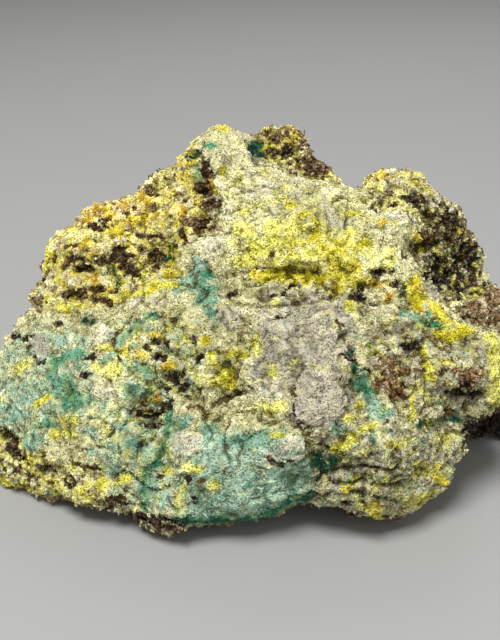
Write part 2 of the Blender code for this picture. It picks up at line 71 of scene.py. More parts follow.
# Zones: corners (u, v), then the amount and the shade of each family in it
ZONES = (
    # Upper left shoulder
    (((-27.0, 1.5), (-26.6, 9.0), (-20.0, 15.5), (-12.0, 18.5), (-6.5, 23.5), (-5.4, 17.0), (-4.3, 11.5),
      (-8.0, 9.0), (-8.0, 4.0), (-12.0, 3.0), (-18.0, 1.3), (-24.0, 0.0)),
     {DARK: (0.26, 0.4), YELLOW: (0.46, 0.62), PALE: (0.42, 0.1)}),
    # Knobs along the top
    (((-0.2, 24.5), (7.0, 25.0), (12.0, 20.5), (12.0, 16.8), (8.0, 17.4), (2.0, 19.4)),
     {DARK: (0.52, 0.45), YELLOW: (0.45, 0.5), PALE: (0.25, 0.2)}),
    # Right lobe
    (((12.5, 16.0), (14.5, 19.5), (22.0, 19.5), (23.5, 15.0), (21.0, 12.6), (16.0, 13.0)),
     {DARK: (0.3, 0.45), YELLOW: (0.4, 0.5), PALE: (0.4, 0.1)}),
    # Its dark side
    (((22.6, 16.0), (26.0, 14.6), (29.5, 9.0), (29.5, 3.6), (24.6, 1.6), (21.6, 5.6), (21.2, 10.4),
      (20.8, 14.4)),
     {DARK: (0.56, 0.7), YELLOW: (0.36, 0.6), PALE: (0.3, 0.4), GREEN: (0.2, 0.8)}),
    # Brown ledge
    (((24.6, 1.6), (29.5, 4.8), (35.5, 4.0), (36.0, -14.0), (32.6, -12.0), (33.0, -4.0), (27.5, -0.6)),
     {DARK: (0.58, 0.35), PALE: (0.34, 0.5), YELLOW: (0.14, 0.8)}),
    # Dark foot under the lip
    (((27.0, -12.8), (30.0, -11.6), (36.0, -11.0), (36.0, -16.0), (26.0, -16.0)),
     {DARK: (0.92, 0.9), GREEN: (0.3, 0.9)}),
    # Left wing
    (((-31.5, -3.0), (-27.0, 0.0), (-20.0, -2.0), (-19.0, -8.0), (-20.0, -12.0),
      (-27.0, -17.0), (-36.0, -12.0)),
     {GREEN: (0.38, 0.12), YELLOW: (0.2, 0.15), PALE: (0.25, 0.3)}),
    # Lower left edge
    (((-36.0, -13.0), (-30.0, -13.6), (-24.0, -17.0), (-18.0, -17.0), (-17.0, -24.0),
      (-28.0, -22.5), (-36.0, -20.0)),
     {DARK: (0.34, 0.5), YELLOW: (0.4, 0.4), PALE: (0.34, 0.3)}),
    # Left of the middle
    (((-18.0, 0.5), (-8.0, 1.0), (-5.0, -4.0), (-6.0, -10.0), (-12.0, -12.0), (-17.0, -9.0)),
     {DARK: (0.24, 0.65), YELLOW: (0.32, 0.4), GREEN: (0.3, 0.2), PALE: (0.34, 0.3)}),
    # Grey middle
    (((1.0, 4.0), (12.0, 4.0), (13.5, -4.0), (13.0, -13.0), (6.0, -14.0), (1.0, -9.0), (0.0, -4.0)),
     {PALE: (0.62, 0.5), YELLOW: (0.2, 0.2), DARK: (0.08, 0.5)}),
    # Right block
    (((15.0, 2.0), (22.0, 0.5), (30.0, -3.0), (30.5, -8.0), (27.0, -12.0), (16.0, -12.0), (14.0, -4.0)),
     {DARK: (0.3, 0.5), PALE: (0.5, 0.6), YELLOW: (0.3, 0.35), GREEN: (0.16, 0.6)}),
    # Green foot in the middle
    (((-7.0, -14.5), (4.0, -13.0), (9.0, -17.5), (8.6, -22.0), (4.0, -26.0), (-8.0, -26.5), (-8.0, -20.0)),
     {GREEN: (0.54, 0.18), PALE: (0.3, 0.35), YELLOW: (0.1, 0.2)}),
    # Bulge at the lower right
    (((9.0, -13.0), (28.0, -12.6), (26.0, -19.0), (22.0, -24.5), (14.0, -26.0), (8.0, -23.0)),
     {PALE: (0.5, 0.65), YELLOW: (0.3, 0.3), DARK: (0.24, 0.55), GREEN: (0.2, 0.4)}),
    # Lower left of the middle
    (((-20.0, -9.0), (-10.0, -12.0), (-7.0, -16.0), (-8.0, -25.0), (-17.0, -23.5), (-21.0, -16.0)),
     {GREEN: (0.36, 0.25), YELLOW: (0.26, 0.15), PALE: (0.36, 0.3), DARK: (0.1, 0.6)}),
    # Upper plate
    (((-4.0, 25.0), (0.0, 24.0), (0.0, 20.0), (11.0, 17.6), (18.0, 14.0), (20.0, 9.0),
      (12.0, 12.0), (-4.0, 12.0)),
     {PALE: (0.4, 0.15), YELLOW: (0.32, 0.2)}),
    # Lemon band of the plate
    (((-3.0, 12.6), (6.0, 13.0), (15.0, 11.4), (16.5, 7.0), (13.0, 3.6), (6.0, 4.2), (-2.0, 6.0)),
     {YELLOW: (0.5, 0.35), PALE: (0.25, 0.15)}),
)
ZONE_EDGE = 1.4

# Patches: (u, v, half width, half height, turn in degrees, shade)
YELLOW_PATCHES = (
    # Upper plate and its lemon band
    (-3.2, 24.2, 1.1, 0.7, 0, 0.45), (-3.5, 19.0, 0.5, 0.5, 0, 0.45), (-0.5, 11.2, 2.0, 1.1, 0, 0.25),
    (0.8, 9.4, 2.0, 1.1, 0, 0.28), (2.1, 11.5, 0.6, 1.4, 0, 0.25), (1.3, 8.3, 1.3, 0.6, 0, 0.3),
    (8.3, 11.8, 0.9, 0.9, 0, 0.45), (8.3, 10.5, 0.8, 0.4, 0, 0.5), (4.8, 14.2, 0.7, 0.7, 0, 0.4),
    (6.8, 12.9, 1.2, 0.4, 20, 0.5), (1.5, 5.0, 1.1, 0.4, 0, 0.6), (10.8, 8.6, 1.5, 0.8, 0, 0.5),
    (11.5, 7.0, 2.2, 1.4, 0, 0.5), (14.2, 9.3, 0.8, 0.9, 0, 0.45), (12.5, 5.4, 2.0, 1.0, 0, 0.45),
    (10.7, 4.2, 1.6, 1.0, 0, 0.5), (12.8, 1.8, 1.2, 1.2, 0, 0.3), (13.2, 13.6, 1.2, 0.5, 0, 0.3),
    (16.7, 7.6, 1.3, 1.4, 0, 0.15), (5.5, 22.8, 1.0, 0.8, 0, 0.55), (4.6, 24.0, 0.7, 0.4, 0, 0.55),
    # Middle
    (-1.5, -4.2, 1.6, 0.6, 0, 0.4), (0.6, -3.2, 0.8, 1.2, 0, 0.2), (-3.5, -7.0, 1.8, 1.6, 0, 0.38),
    (-4.8, -5.0, 0.7, 0.9, 0, 0.45), (-2.5, -8.2, 1.1, 0.6, 0, 0.3), (-5.6, -2.7, 0.6, 0.6, 0, 0.5),
    (2.7, -6.5, 0.5, 0.9, 0, 0.18), (3.0, -10.8, 2.4, 1.1, 0, 0.16), (3.2, -14.2, 1.1, 0.6, 0, 0.18),
    (8.3, -6.0, 1.0, 0.6, 0, 0.1), (3.2, 2.2, 0.6, 0.4, 0, 0.25), (13.4, -10.5, 0.6, 0.4, 0, 0.2),
    (12.2, -12.2, 0.9, 0.5, 0, 0.2),
    # Left
    (-25.1, 8.0, 0.6, 1.2, 0, 0.45), (-12.4, 4.3, 1.6, 0.7, 0, 0.45), (-23.5, 1.6, 1.4, 0.8, 0, 0.3),
    (-18.0, -3.4, 1.5, 0.4, 0, 0.3), (-12.3, -1.7, 0.9, 0.5, 0, 0.6), (-15.7, -3.9, 1.0, 0.7, 0, 0.45),
    (-17.0, -6.3, 1.4, 1.2, 0, 0.15), (-19.0, -5.8, 0.7, 0.6, 0, 0.2), (-22.8, -12.4, 1.6, 0.9, 0, 0.28),
    (-24.4, -14.2, 0.8, 0.6, 0, 0.25), (-22.5, -14.3, 1.0, 0.8, 0, 0.2), (-18.5, -13.0, 1.3, 2.6, 20, 0.15),
    (-27.8, -17.6, 0.9, 0.9, 0, 0.45), (-30.8, -20.0, 1.2, 0.5, 0, 0.5), (-28.0, -20.6, 1.4, 0.7, 0, 0.5),
    (-24.5, -20.0, 1.5, 0.6, 0, 0.35), (-18.5, -20.5, 0.8, 0.8, 30, 0.4), (-15.8, -19.8, 0.8, 0.5, 30, 0.4),
    (-8.7, -22.3, 0.7, 1.5, 0, 0.2), (-7.2, -18.6, 1.5, 0.7, 0, 0.16), (-4.6, -20.8, 0.8, 1.0, 0, 0.16),
    (-10.5, -18.6, 0.8, 0.5, 30, 0.18), (-28.5, -6.0, 1.5, 0.8, 30, 0.2),
    # Right
    (24.7, -5.0, 0.8, 0.5, 0, 0.4), (20.3, -11.0, 0.4, 2.0, 0, 0.35), (24.0, -15.0, 3.2, 1.6, 0, 0.25),
    (22.5, -18.4, 1.8, 1.0, 0, 0.5), (23.7, -19.8, 0.9, 0.8, 0, 0.5), (21.0, -22.0, 2.3, 1.0, 0, 0.35),
    (15.5, -23.5, 1.2, 1.2, 0, 0.55), (12.0, -21.3, 1.0, 0.5, 0, 0.6), (13.0, -19.8, 0.9, 0.4, 20, 0.4),
    (19.0, -15.2, 2.0, 0.7, 15, 0.3), (28.2, 3.6, 0.8, 0.8, 0, 0.3), (21.8, 9.0, 1.0, 0.6, 0, 0.35),
    # Orange yellow
    (-19.2, 14.2, 1.0, 0.8, 0, 0.85), (-20.5, 12.8, 1.0, 0.8, 0, 0.75), (-13.2, 15.2, 0.8, 1.5, 0, 0.75),
    (-14.6, 12.7, 0.8, 0.8, 0, 0.7), (-12.5, 12.8, 0.8, 0.8, 0, 0.7), (-20.3, 9.6, 1.1, 0.9, 0, 0.7),
    (-16.9, 11.5, 1.1, 1.1, 0, 0.6), (-17.6, 13.4, 1.2, 0.8, 15, 0.8),
    (-15.6, 14.3, 0.9, 0.7, 0, 0.85), (-15.2, 12.2, 0.9, 0.6, 0, 0.8), (-19.3, 5.0, 0.7, 0.8, 0, 0.8),
    (-17.8, 3.8, 0.8, 0.4, 0, 0.7),
    (-9.0, 19.6, 0.6, 0.6, 0, 0.7), (-7.7, 19.5, 0.6, 0.6, 0, 0.65), (-5.0, 16.5, 0.6, 0.7, 0, 0.75),
    (-8.3, 13.7, 0.5, 1.2, 0, 0.75), (-13.7, -4.5, 0.6, 0.4, 0, 0.75), (-10.0, -5.6, 0.9, 0.5, 0, 0.75),
    (16.3, 18.2, 0.7, 0.7, 0, 0.65), (16.9, 12.4, 0.6, 0.6, 0, 0.65), (21.2, 10.2, 0.9, 0.8, 0, 0.65),
    (26.3, 11.0, 0.8, 1.0, 0, 0.6), (27.6, 9.2, 0.8, 0.6, 0, 0.6), (15.8, 4.7, 1.1, 0.6, 0, 0.85),
    (17.3, 3.2, 0.6, 0.4, 0, 0.8), (21.3, 1.1, 0.4, 0.3, 0, 0.9), (-11.7, -9.8, 0.6, 0.6, 0, 0.8),
)
YELLOW_STREAKS = (
    # Points along each, half its width, shade
    (((0.5, 5.7), (3.0, 5.8), (5.5, 5.6), (8.0, 5.4), (9.6, 5.2)), 0.65, 0.52),
    (((-14.8, 3.2), (-12.8, 3.4), (-11.0, 4.2), (-9.4, 4.6)), 0.4, 0.42),
    (((20.2, 4.6), (20.8, 3.0), (21.0, 1.8)), 0.65, 0.5),
    (((22.4, 1.7), (23.5, 0.7), (24.4, -0.3)), 0.65, 0.52),
    (((23.6, -1.5), (25.3, -1.7), (27.2, -1.6)), 0.55, 0.5),
    (((29.8, -2.4), (30.6, -5.0), (30.4, -9.0), (31.2, -11.0)), 0.9, 0.18),
    (((21.9, -3.5), (22.3, -5.5), (22.8, -7.4)), 0.45, 0.4),
    (((-26.9, -10.6), (-25.4, -9.6)), 0.35, 0.4),
    (((10.4, -16.1), (12.0, -15.5), (13.3, -14.8)), 0.55, 0.28),
    (((13.0, -14.3), (14.4, -13.6), (15.4, -13.2)), 0.45, 0.28),
)
GREEN_PATCHES = (
    # Under the plate
    (-7.6, 5.4, 0.7, 0.9, 0, 0.08), (-6.2, 4.9, 1.7, 1.6, 0, 0.35), (-5.4, 2.8, 1.5, 1.6, 0, 0.3),
    (-4.9, 0.9, 0.8, 1.0, 0, 0.3), (-6.3, 7.2, 1.0, 1.0, 0, 0.1),
    # Left
    (-23.5, -8.4, 1.8, 1.9, 0, 0.42), (-22.0, -9.8, 1.6, 1.0, 0, 0.5), (-22.3, -10.8, 0.9, 0.4, 0, 0.75),
    (-24.3, -6.5, 0.5, 0.5, 0, 0.0), (-24.0, -2.6, 1.2, 1.0, 0, 0.15), (-26.0, -12.8, 1.5, 0.7, 25, 0.42),
    (-27.3, -15.0, 1.3, 1.1, 0, 0.25), (-28.5, -9.5, 2.5, 2.0, 20, 0.15), (-29.5, -12.0, 1.5, 1.0, 0, 0.2),
    (-14.0, -6.0, 1.6, 1.1, 0, 0.25), (-12.5, -6.4, 0.7, 1.2, 0, 0.42), (-14.5, -8.8, 1.2, 1.1, 0, 0.25),
    (-12.8, -9.3, 0.8, 0.8, 0, 0.45), (-13.6, -15.6, 2.2, 1.6, 0, 0.28), (-20.5, -10.2, 0.8, 1.0, 0, 0.25),
    (-12.6, -20.5, 1.2, 2.0, 0, 0.2), (-17.5, -18.6, 1.3, 0.9, 0, 0.15), (-11.0, -22.5, 1.4, 1.2, 0, 0.1),
    (-8.6, -13.0, 1.3, 1.2, 0, 0.25),
    # Foot in the middle
    (-4.8, -14.0, 1.2, 1.2, 0, 0.3), (-1.0, -14.8, 1.6, 0.9, 0, 0.35), (1.2, -14.6, 1.2, 0.8, 0, 0.3),
    (0.5, -17.0, 2.0, 1.2, 0, 0.05), (2.6, -18.6, 1.0, 0.9, 0, 0.2), (5.2, -20.3, 1.0, 0.6, 0, 0.22),
    (-1.5, -20.0, 2.6, 1.8, 0, 0.14), (1.0, -22.3, 3.4, 1.8, 0, 0.2), (-6.0, -24.0, 1.6, 0.7, 0, 0.12),
    (-3.5, -17.5, 1.8, 1.2, 0, 0.1), (0.0, -20.5, 0.3, 0.4, 0, 0.8),
    # Right
    (13.0, -6.3, 0.5, 1.1, 0, 0.7), (14.0, -7.6, 1.1, 1.2, 0, 0.35), (14.5, -8.8, 1.1, 0.4, 0, 0.75),
    (14.8, -9.8, 1.0, 0.8, 0, 0.25), (16.2, -11.6, 1.8, 1.0, 0, 0.2), (19.0, 0.8, 0.35, 0.6, 0, 0.65),
    (19.8, 0.5, 0.9, 0.5, 0, 0.2), (21.3, -0.4, 0.9, 0.7, 0, 0.55), (22.2, 0.6, 0.3, 0.5, 0, 0.5),
    (23.5, -0.7, 1.2, 0.35, -10, 0.5), (15.0, -3.3, 0.4, 0.4, 0, 0.7), (15.4, -14.6, 0.8, 1.0, 0, 0.3),
    (11.0, -13.5, 0.9, 0.8, 0, 0.2), (23.5, -10.4, 1.2, 0.4, 0, 0.75), (14.0, -22.0, 0.9, 0.6, 0, 0.0),
    # Top
    (-5.0, 21.8, 0.6, 0.4, 0, 0.5), (-6.6, 18.3, 0.45, 1.3, 0, 0.5), (-6.7, 17.3, 0.5, 0.5, 0, 0.3),
    (23.2, 9.2, 0.4, 0.4, 0, 0.5), (25.1, 8.6, 0.4, 0.6, 0, 0.6),
    # Dark green
    (-7.2, 20.5, 1.0, 0.6, 0, 1.0), (0.9, 21.3, 1.2, 1.6, 0, 1.0), (-10.2, 9.3, 0.6, 0.7, 0, 0.9),
    (-10.4, 7.8, 0.6, 0.8, 0, 0.9), (-17.2, 6.3, 0.5, 0.5, 0, 0.8), (-16.5, 5.0, 0.6, 0.6, 0, 0.9),
    (-20.3, 0.1, 0.9, 0.3, 0, 0.9), (-5.3, 5.8, 0.8, 0.5, 0, 0.75), (-4.8, 4.0, 0.7, 0.5, 0, 0.7),
    (-2.9, -5.4, 0.5, 0.5, 0, 0.85), (12.7, -4.2, 0.6, 0.6, 0, 0.85), (25.3, -12.3, 1.8, 0.5, 0, 0.85),
    (21.8, -13.0, 1.2, 0.4, 0, 0.8), (8.6, -17.5, 0.7, 0.9, 0, 0.95), (10.4, -17.4, 0.6, 0.8, 0, 0.95),
    (9.2, -18.7, 0.9, 0.4, 0, 0.95), (19.2, 3.7, 0.5, 0.6, 0, 0.85), (7.0, -22.0, 1.5, 0.5, 0, 0.85),
)
GREEN_STREAKS = (
    (((-11.7, 0.4), (-13.0, 0.1), (-14.5, -0.9), (-15.8, -2.0), (-16.7, -3.2)), 0.5, 0.38),
    (((-21.2, -4.3), (-22.8, -4.6), (-24.2, -5.5), (-24.9, -6.8)), 0.6, 0.5),
    (((-16.9, -3.6), (-17.8, -4.8), (-18.4, -5.8)), 0.45, 0.25),
    (((-10.2, -11.4), (-10.3, -13.0), (-10.3, -15.0), (-10.8, -16.2)), 0.55, 0.46),
    (((-10.8, -16.2), (-11.6, -17.6), (-13.0, -18.9), (-13.3, -20.3)), 0.5, 0.55),
    (((-13.3, -20.3), (-13.3, -22.0), (-13.1, -23.7)), 0.4, 0.58),
    (((-28.5, -21.9), (-25.0, -22.1), (-22.0, -22.7), (-19.8, -23.0)), 0.4, 0.8),
    (((-10.0, -24.7), (-5.0, -25.0), (-1.0, -25.2), (2.0, -24.6), (4.6, -22.9)), 0.45, 0.85),
    (((-9.4, 3.4), (-8.0, 5.6), (-7.0, 7.8)), 0.45, 0.15),
)
DARK_PATCHES = (
    # Shoulder
    (-16.8, 7.7, 2.4, 1.3, 0, 0.62), (-14.9, 6.4, 1.0, 1.2, 0, 0.66), (-12.0, 7.6, 1.3, 1.3, 0, 0.6),
    (-20.6, 6.5, 1.3, 0.5, 0, 0.75), (-21.5, 7.5, 1.2, 0.4, 0, 0.5), (-22.0, 3.5, 2.0, 0.5, 0, 0.5),
    (-19.0, 3.9, 1.3, 0.4, 0, 0.5), (-18.6, 2.6, 1.3, 0.6, 0, 0.5), (-19.4, 11.7, 1.8, 0.4, 0, 0.6),
    (-26.2, 2.2, 0.6, 1.0, 0, 0.5), (-26.0, 5.6, 0.4, 1.2, 0, 0.5), (-23.9, -0.3, 0.4, 0.3, 0, 0.8),
    (-12.2, 16.2, 1.0, 0.7, 0, 0.5), (-11.5, 10.4, 1.3, 0.5, 0, 0.4), (-23.0, 7.2, 0.7, 0.4, 40, 0.6),
    (-14.4, 14.1, 0.4, 0.3, 0, 0.6), (-12.0, 14.2, 0.5, 0.35, 0, 0.5), (-18.6, 12.6, 0.8, 0.3, 10, 0.6),
    (-24.6, 7.9, 0.4, 0.8, 0, 0.6), (-22.1, 9.2, 0.9, 0.35, 20, 0.6), (-15.6, 13.2, 0.5, 0.3, 0, 0.6),
    (-10.0, 17.8, 0.6, 0.5, 0, 0.5), (-16.2, 9.2, 1.2, 0.35, 0, 0.6), (-13.9, 10.6, 0.6, 0.4, 0, 0.55),
    # Step beside the plate
    (-5.4, 18.8, 0.8, 1.2, 0, 0.55), (-5.8, 16.5, 0.9, 1.1, 0, 0.55), (-5.2, 14.4, 1.1, 1.1, 0, 0.5),
    (-6.0, 12.0, 1.8, 0.9, 0, 0.5), (-8.3, 10.4, 0.5, 1.4, 0, 0.6),
    # Knobs and lobe
    (3.3, 22.8, 1.2, 1.0, 0, 0.45), (4.3, 20.7, 1.2, 0.7, 0, 0.7), (7.5, 19.4, 1.5, 1.0, 0, 0.5),
    (9.3, 19.0, 1.2, 0.8, 0, 0.5), (20.5, 15.2, 1.5, 0.6, 0, 0.8), (21.0, 14.5, 0.8, 0.6, 0, 0.75),
    (18.3, 14.4, 0.9, 0.4, 0, 0.75), (24.8, 12.3, 0.6, 0.6, 0, 0.8), (27.7, 7.6, 0.9, 0.7, 0, 1.0),
    (23.5, 4.6, 1.4, 1.3, 0, 1.0), (22.8, 6.3, 0.9, 1.2, 0, 0.95), (25.8, 6.3, 0.6, 1.2, 0, 1.0),
    (26.0, 3.8, 1.3, 0.5, 0, 1.0), (20.7, 8.9, 0.6, 0.6, 0, 0.75), (18.7, 8.0, 0.4, 0.7, 0, 0.6),
    (15.3, 14.0, 0.3, 0.4, 0, 0.8), (26.2, 9.4, 0.5, 0.5, 0, 0.9),
    # Right of the middle
    (16.5, 6.0, 1.3, 0.4, 0, 0.8), (18.0, 4.6, 0.6, 0.5, 0, 0.75), (13.9, 4.2, 0.6, 0.6, 0, 1.0),
    (13.2, 3.1, 1.2, 0.4, 0, 0.75), (16.0, 2.2, 0.8, 0.3, 0, 0.8), (20.0, -3.2, 1.3, 0.7, 0, 0.85),
    (17.5, -5.6, 1.2, 0.7, 0, 0.2), (17.0, -7.6, 1.3, 1.2, 0, 0.25), (18.6, -9.0, 1.2, 1.4, 0, 0.25),
    (19.2, -6.6, 1.2, 0.6, 0, 0.35), (26.7, -9.2, 2.1, 0.6, 0, 0.7), (24.7, -11.5, 1.0, 0.6, 0, 0.45),
    (27.2, -6.6, 2.0, 0.8, 0, 0.25), (24.4, -6.3, 0.6, 0.4, 0, 0.6), (29.8, -13.0, 2.5, 1.0, 0, 0.95),
    (27.0, -8.0, 1.0, 0.4, 0, 0.7),
    # Left
    (-27.3, -3.5, 0.4, 0.6, -40, 0.6), (-26.6, -4.6, 0.35, 0.3, 0, 0.8), (-25.8, -5.3, 0.4, 0.35, 0, 0.7),
    (-19.7, -4.6, 0.65, 0.5, 0, 0.9), (-20.3, -6.7, 0.65, 0.4, 0, 0.85), (-11.8, -2.5, 0.4, 0.4, 0, 0.8),
    (-10.3, -2.6, 0.35, 0.45, 0, 0.8), (-12.6, -3.7, 0.6, 0.3, 0, 0.7), (-11.3, -4.6, 1.1, 0.5, 0, 0.65),
    (-16.1, -4.6, 0.3, 0.45, 0, 0.75), (-6.3, -4.7, 0.45, 0.7, 0, 0.8), (-6.8, -2.6, 0.5, 0.5, 0, 0.7),
    (-8.9, 0.0, 0.5, 0.4, 0, 0.7), (-9.3, -7.1, 1.2, 0.7, 0, 0.8), (-8.1, -8.3, 0.6, 0.5, 0, 0.85),
    (-10.5, -8.5, 0.9, 0.3, 0, 0.7), (-7.4, -10.9, 1.0, 0.4, 0, 0.3), (-10.4, -10.9, 0.6, 0.5, 0, 0.9),
    (-13.3, -11.6, 1.5, 0.5, 0, 0.9), (-12.6, -13.0, 1.4, 0.4, 0, 0.75), (-13.6, -15.6, 0.3, 0.25, 0, 0.9),
    (-25.7, -18.3, 0.6, 0.35, 0, 0.8), (-22.0, -19.8, 0.8, 0.4, 0, 0.75), (-16.8, -22.8, 1.3, 0.8, 0, 0.6),
    (-29.3, -18.8, 0.7, 0.5, 0, 0.65), (-27.6, -19.4, 0.6, 0.4, 0, 0.6), (-24.6, -18.7, 0.5, 0.3, 0, 0.5),
    # Foot
    (-7.8, -20.0, 0.45, 0.5, 0, 0.6), (-6.2, -20.3, 0.7, 0.4, 0, 0.35), (-11.4, -19.5, 0.45, 0.35, 0, 0.6),
    (-6.8, -22.6, 0.35, 0.3, 0, 0.8), (-10.0, -26.0, 2.0, 0.6, -15, 0.6), (-4.5, -26.2, 3.0, 0.5, 0, 0.85),
    (12.8, -24.4, 1.2, 0.5, 0, 0.7), (18.0, -24.5, 1.5, 0.5, 0, 0.6), (12.2, -22.6, 0.8, 0.3, 0, 0.75),
    # The patch at (1.4, 6.5) is painted shadow under a grey lump
    (6.3, -13.0, 0.5, 0.25, 0, 0.95), (-1.8, -9.2, 0.6, 0.3, 20, 0.85), (1.4, 6.5, 0.6, 0.2, 0, 0.8),
    (2.7, 8.2, 0.3, 0.5, 0, 0.7), (-4.9, 6.2, 0.4, 0.4, 0, 0.85), (-2.2, 3.2, 0.6, 0.4, 0, 0.75),
    (5.0, 4.6, 0.35, 0.35, 0, 0.8), (11.0, -0.6, 0.3, 0.7, 20, 0.8),
)
DARK_STREAKS = (
    (((-29.8, -2.0), (-28.6, -2.2), (-27.2, -2.1)), 0.35, 0.85),
    (((-31.5, -14.0), (-30.0, -14.3), (-29.6, -16.0), (-29.0, -17.2)), 0.55, 0.75),
    (((-21.6, -18.0), (-20.5, -18.4), (-19.3, -18.6)), 0.35, 0.8),
    (((-14.6, -24.5), (-12.0, -25.1), (-8.6, -25.3)), 0.45, 0.95),
    (((3.0, 3.0), (4.4, 3.2), (4.9, 4.2)), 0.2, 0.75),
    (((2.6, 0.2), (3.6, 0.6), (4.6, 1.1)), 0.2, 0.75),
    # Painted shadows: a line under the beige flake at the foot, and one along the lower left edge of the
    # grey flake
    (((2.4, -17.1), (3.8, -17.8), (5.4, -17.4)), 0.2, 0.6),
    (((6.0, -7.2), (5.5, -8.8), (5.3, -11.2), (6.3, -12.9), (7.2, -14.3), (8.6, -13.9)), 0.1, 0.6),
    (((11.2, -4.2), (12.4, -5.0), (13.8, -5.6), (15.2, -6.6)), 0.15, 0.8),
)
PALE_PATCHES = (
    # Cream
    (-1.2, 23.0, 1.3, 1.2, 0, 0.0), (2.5, 16.5, 2.2, 2.2, 0, 0.1), (6.5, 16.4, 2.4, 2.0, 0, 0.1),
    (-4.6, 9.4, 1.6, 1.2, 0, 0.15), (-15.0, 15.6, 1.5, 0.5, 0, 0.0), (16.5, 7.5, 1.5, 1.2, 0, 0.0),
    (18.5, 17.5, 3.5, 1.8, 0, 0.12), (17.5, 13.0, 2.0, 1.3, 0, 0.12), (23.3, 14.8, 0.9, 0.8, 0, 0.1),
    (2.8, 21.2, 0.6, 0.6, 0, 0.05), (6.6, 20.9, 0.6, 0.6, 0, 0.05), (-24.0, 5.4, 1.6, 2.0, 0, 0.12),
    (-23.6, 8.6, 1.0, 1.4, 0, 0.1),
    (-18.5, -9.5, 1.8, 1.5, 0, 0.1), (-18.0, -13.5, 2.0, 2.3, 0, 0.1), (-19.0, -15.8, 1.5, 1.2, 0, 0.3),
    (1.5, -9.0, 2.0, 1.0, 0, 0.2),
    (-22.0, -6.3, 0.9, 0.6, 0, 0.0), (-22.5, 11.0, 1.2, 1.2, 0, 0.05), (-13.0, 2.3, 3.5, 0.6, 5, 0.15),
    (10.8, 13.0, 2.2, 1.6, 0, 0.2), (6.9, 6.7, 0.7, 0.35, 0, 0.05), (16.2, 1.3, 1.6, 0.6, 0, 0.15),
    (-26.9, -18.0, 0.5, 0.4, 0, 0.0), (9.3, -17.4, 0.4, 0.5, 0, 0.0), (10.8, -4.4, 1.4, 0.9, 0, 0.2),
    # Grey and beige
    (8.3, -9.2, 2.4, 3.2, 0, 0.5), (6.0, -6.3, 1.3, 1.1, 0, 0.55), (4.4, -8.3, 1.0, 0.9, 0, 0.4),
    (7.0, -1.6, 2.4, 2.4, 0, 0.6), (2.7, -3.5, 0.8, 1.5, 0, 0.85), (1.0, -6.3, 1.1, 1.2, 0, 0.8),
    (1.3, 15.3, 1.3, 1.1, 0, 0.6), (2.3, 7.1, 1.0, 0.8, 0, 0.8), (-18.0, -1.6, 2.4, 1.5, 0, 0.25),
    (-8.2, -15.2, 1.6, 1.6, 0, 0.3), (4.6, -16.0, 2.0, 1.4, 0, 0.35), (-9.6, -4.4, 1.2, 0.4, 0, 0.8),
    (7.3, 2.4, 1.0, 1.3, 0, 0.5), (-2.6, 0.2, 1.5, 1.3, 0, 0.4), (7.2, 10.6, 0.6, 0.4, 0, 0.7),
    (24.3, -4.0, 1.3, 1.0, 0, 0.6), (28.0, -4.6, 2.0, 1.6, 0, 0.75), (23.0, -8.6, 1.2, 0.8, 0, 0.85),
    (18.6, -1.5, 0.9, 1.3, 0, 0.75), (14.5, -17.2, 3.0, 1.5, 0, 0.7), (17.5, -19.3, 2.5, 1.4, 0, 0.75),
    (10.0, -14.8, 1.0, 1.0, 0, 0.6), (10.6, -19.9, 1.0, 0.8, 0, 0.6), (-26.0, -3.2, 1.1, 1.8, 0, 0.6),
    (-18.0, -17.4, 1.3, 0.8, 0, 0.4), (-10.4, 12.7, 0.9, 1.3, 0, 0.8), (-12.6, 11.2, 1.2, 0.6, 0, 0.5),
    (-16.2, 14.6, 0.7, 0.4, 0, 0.6), (27.0, 5.9, 0.6, 0.5, 0, 0.7),
    (13.6, -2.2, 0.8, 0.6, 0, 0.3), (-12.4, -12.6, 1.5, 0.6, 0, 0.9),
)
PALE_STREAKS = (
    (((20.7, 5.1), (21.6, 4.0), (22.5, 3.0)), 0.5, 0.5),
    (((2.6, 0.9), (4.4, 1.7)), 0.35, 0.15),
    (((22.2, -1.3), (23.6, -2.9)), 0.3, 0.3),
    (((1.5, -16.8), (2.3, -15.9)), 0.3, 0.1),
)
PATCHES = {YELLOW: YELLOW_PATCHES, GREEN: GREEN_PATCHES, DARK: DARK_PATCHES, PALE: PALE_PATCHES}
STREAKS = {YELLOW: YELLOW_STREAKS, GREEN: GREEN_STREAKS, DARK: DARK_STREAKS, PALE: PALE_STREAKS}
# Painted shade, partly olive-brown grime, under a ledge and on shadowed faces: (u, v, half width, half
# height, turn, strength)
PAINTED_SHADE_AND_GRIME = (
    (-3.4, -7.0, 3.2, 4.5, 0, 0.8), (-9.0, -5.5, 3.0, 3.5, 0, 0.5), (15.5, -17.5, 5.0, 3.5, 0, 0.5),
    (-12.5, -16.5, 3.5, 3.5, 0, 0.5), (3.0, 3.0, 7.0, 0.9, -3, 0.75), (18.0, -6.0, 4.0, 5.5, 0, 0.4),
    (8.5, -21.0, 1.2, 4.5, 10, 0.5), (-15.5, -1.5, 3.5, 1.2, 30, 0.4), (13.5, -7.0, 1.5, 4.0, -15, 0.5),
    (3.3, -12.3, 4.0, 0.7, -10, 0.5), (5.0, -6.3, 0.6, 4.5, 40, 0.4), (-25.0, -14.5, 5.0, 2.0, 0, 0.4),
    (12.0, 3.0, 4.5, 1.2, -25, 0.6), (6.5, 11.8, 1.3, 0.5, 0, 0.6), (20.0, -14.0, 7.0, 0.8, 5, 0.5),
)
# Clumps of the painted shade and grime: (size of the forms, change)
PAINTED_SHADE_AND_GRIME_CLUMPS = ((1.6, 0.5), (0.7, 0.4))
# How strongly the clumps change the painted shade and grime
PAINTED_SHADE_AND_GRIME_SWING = 2.0
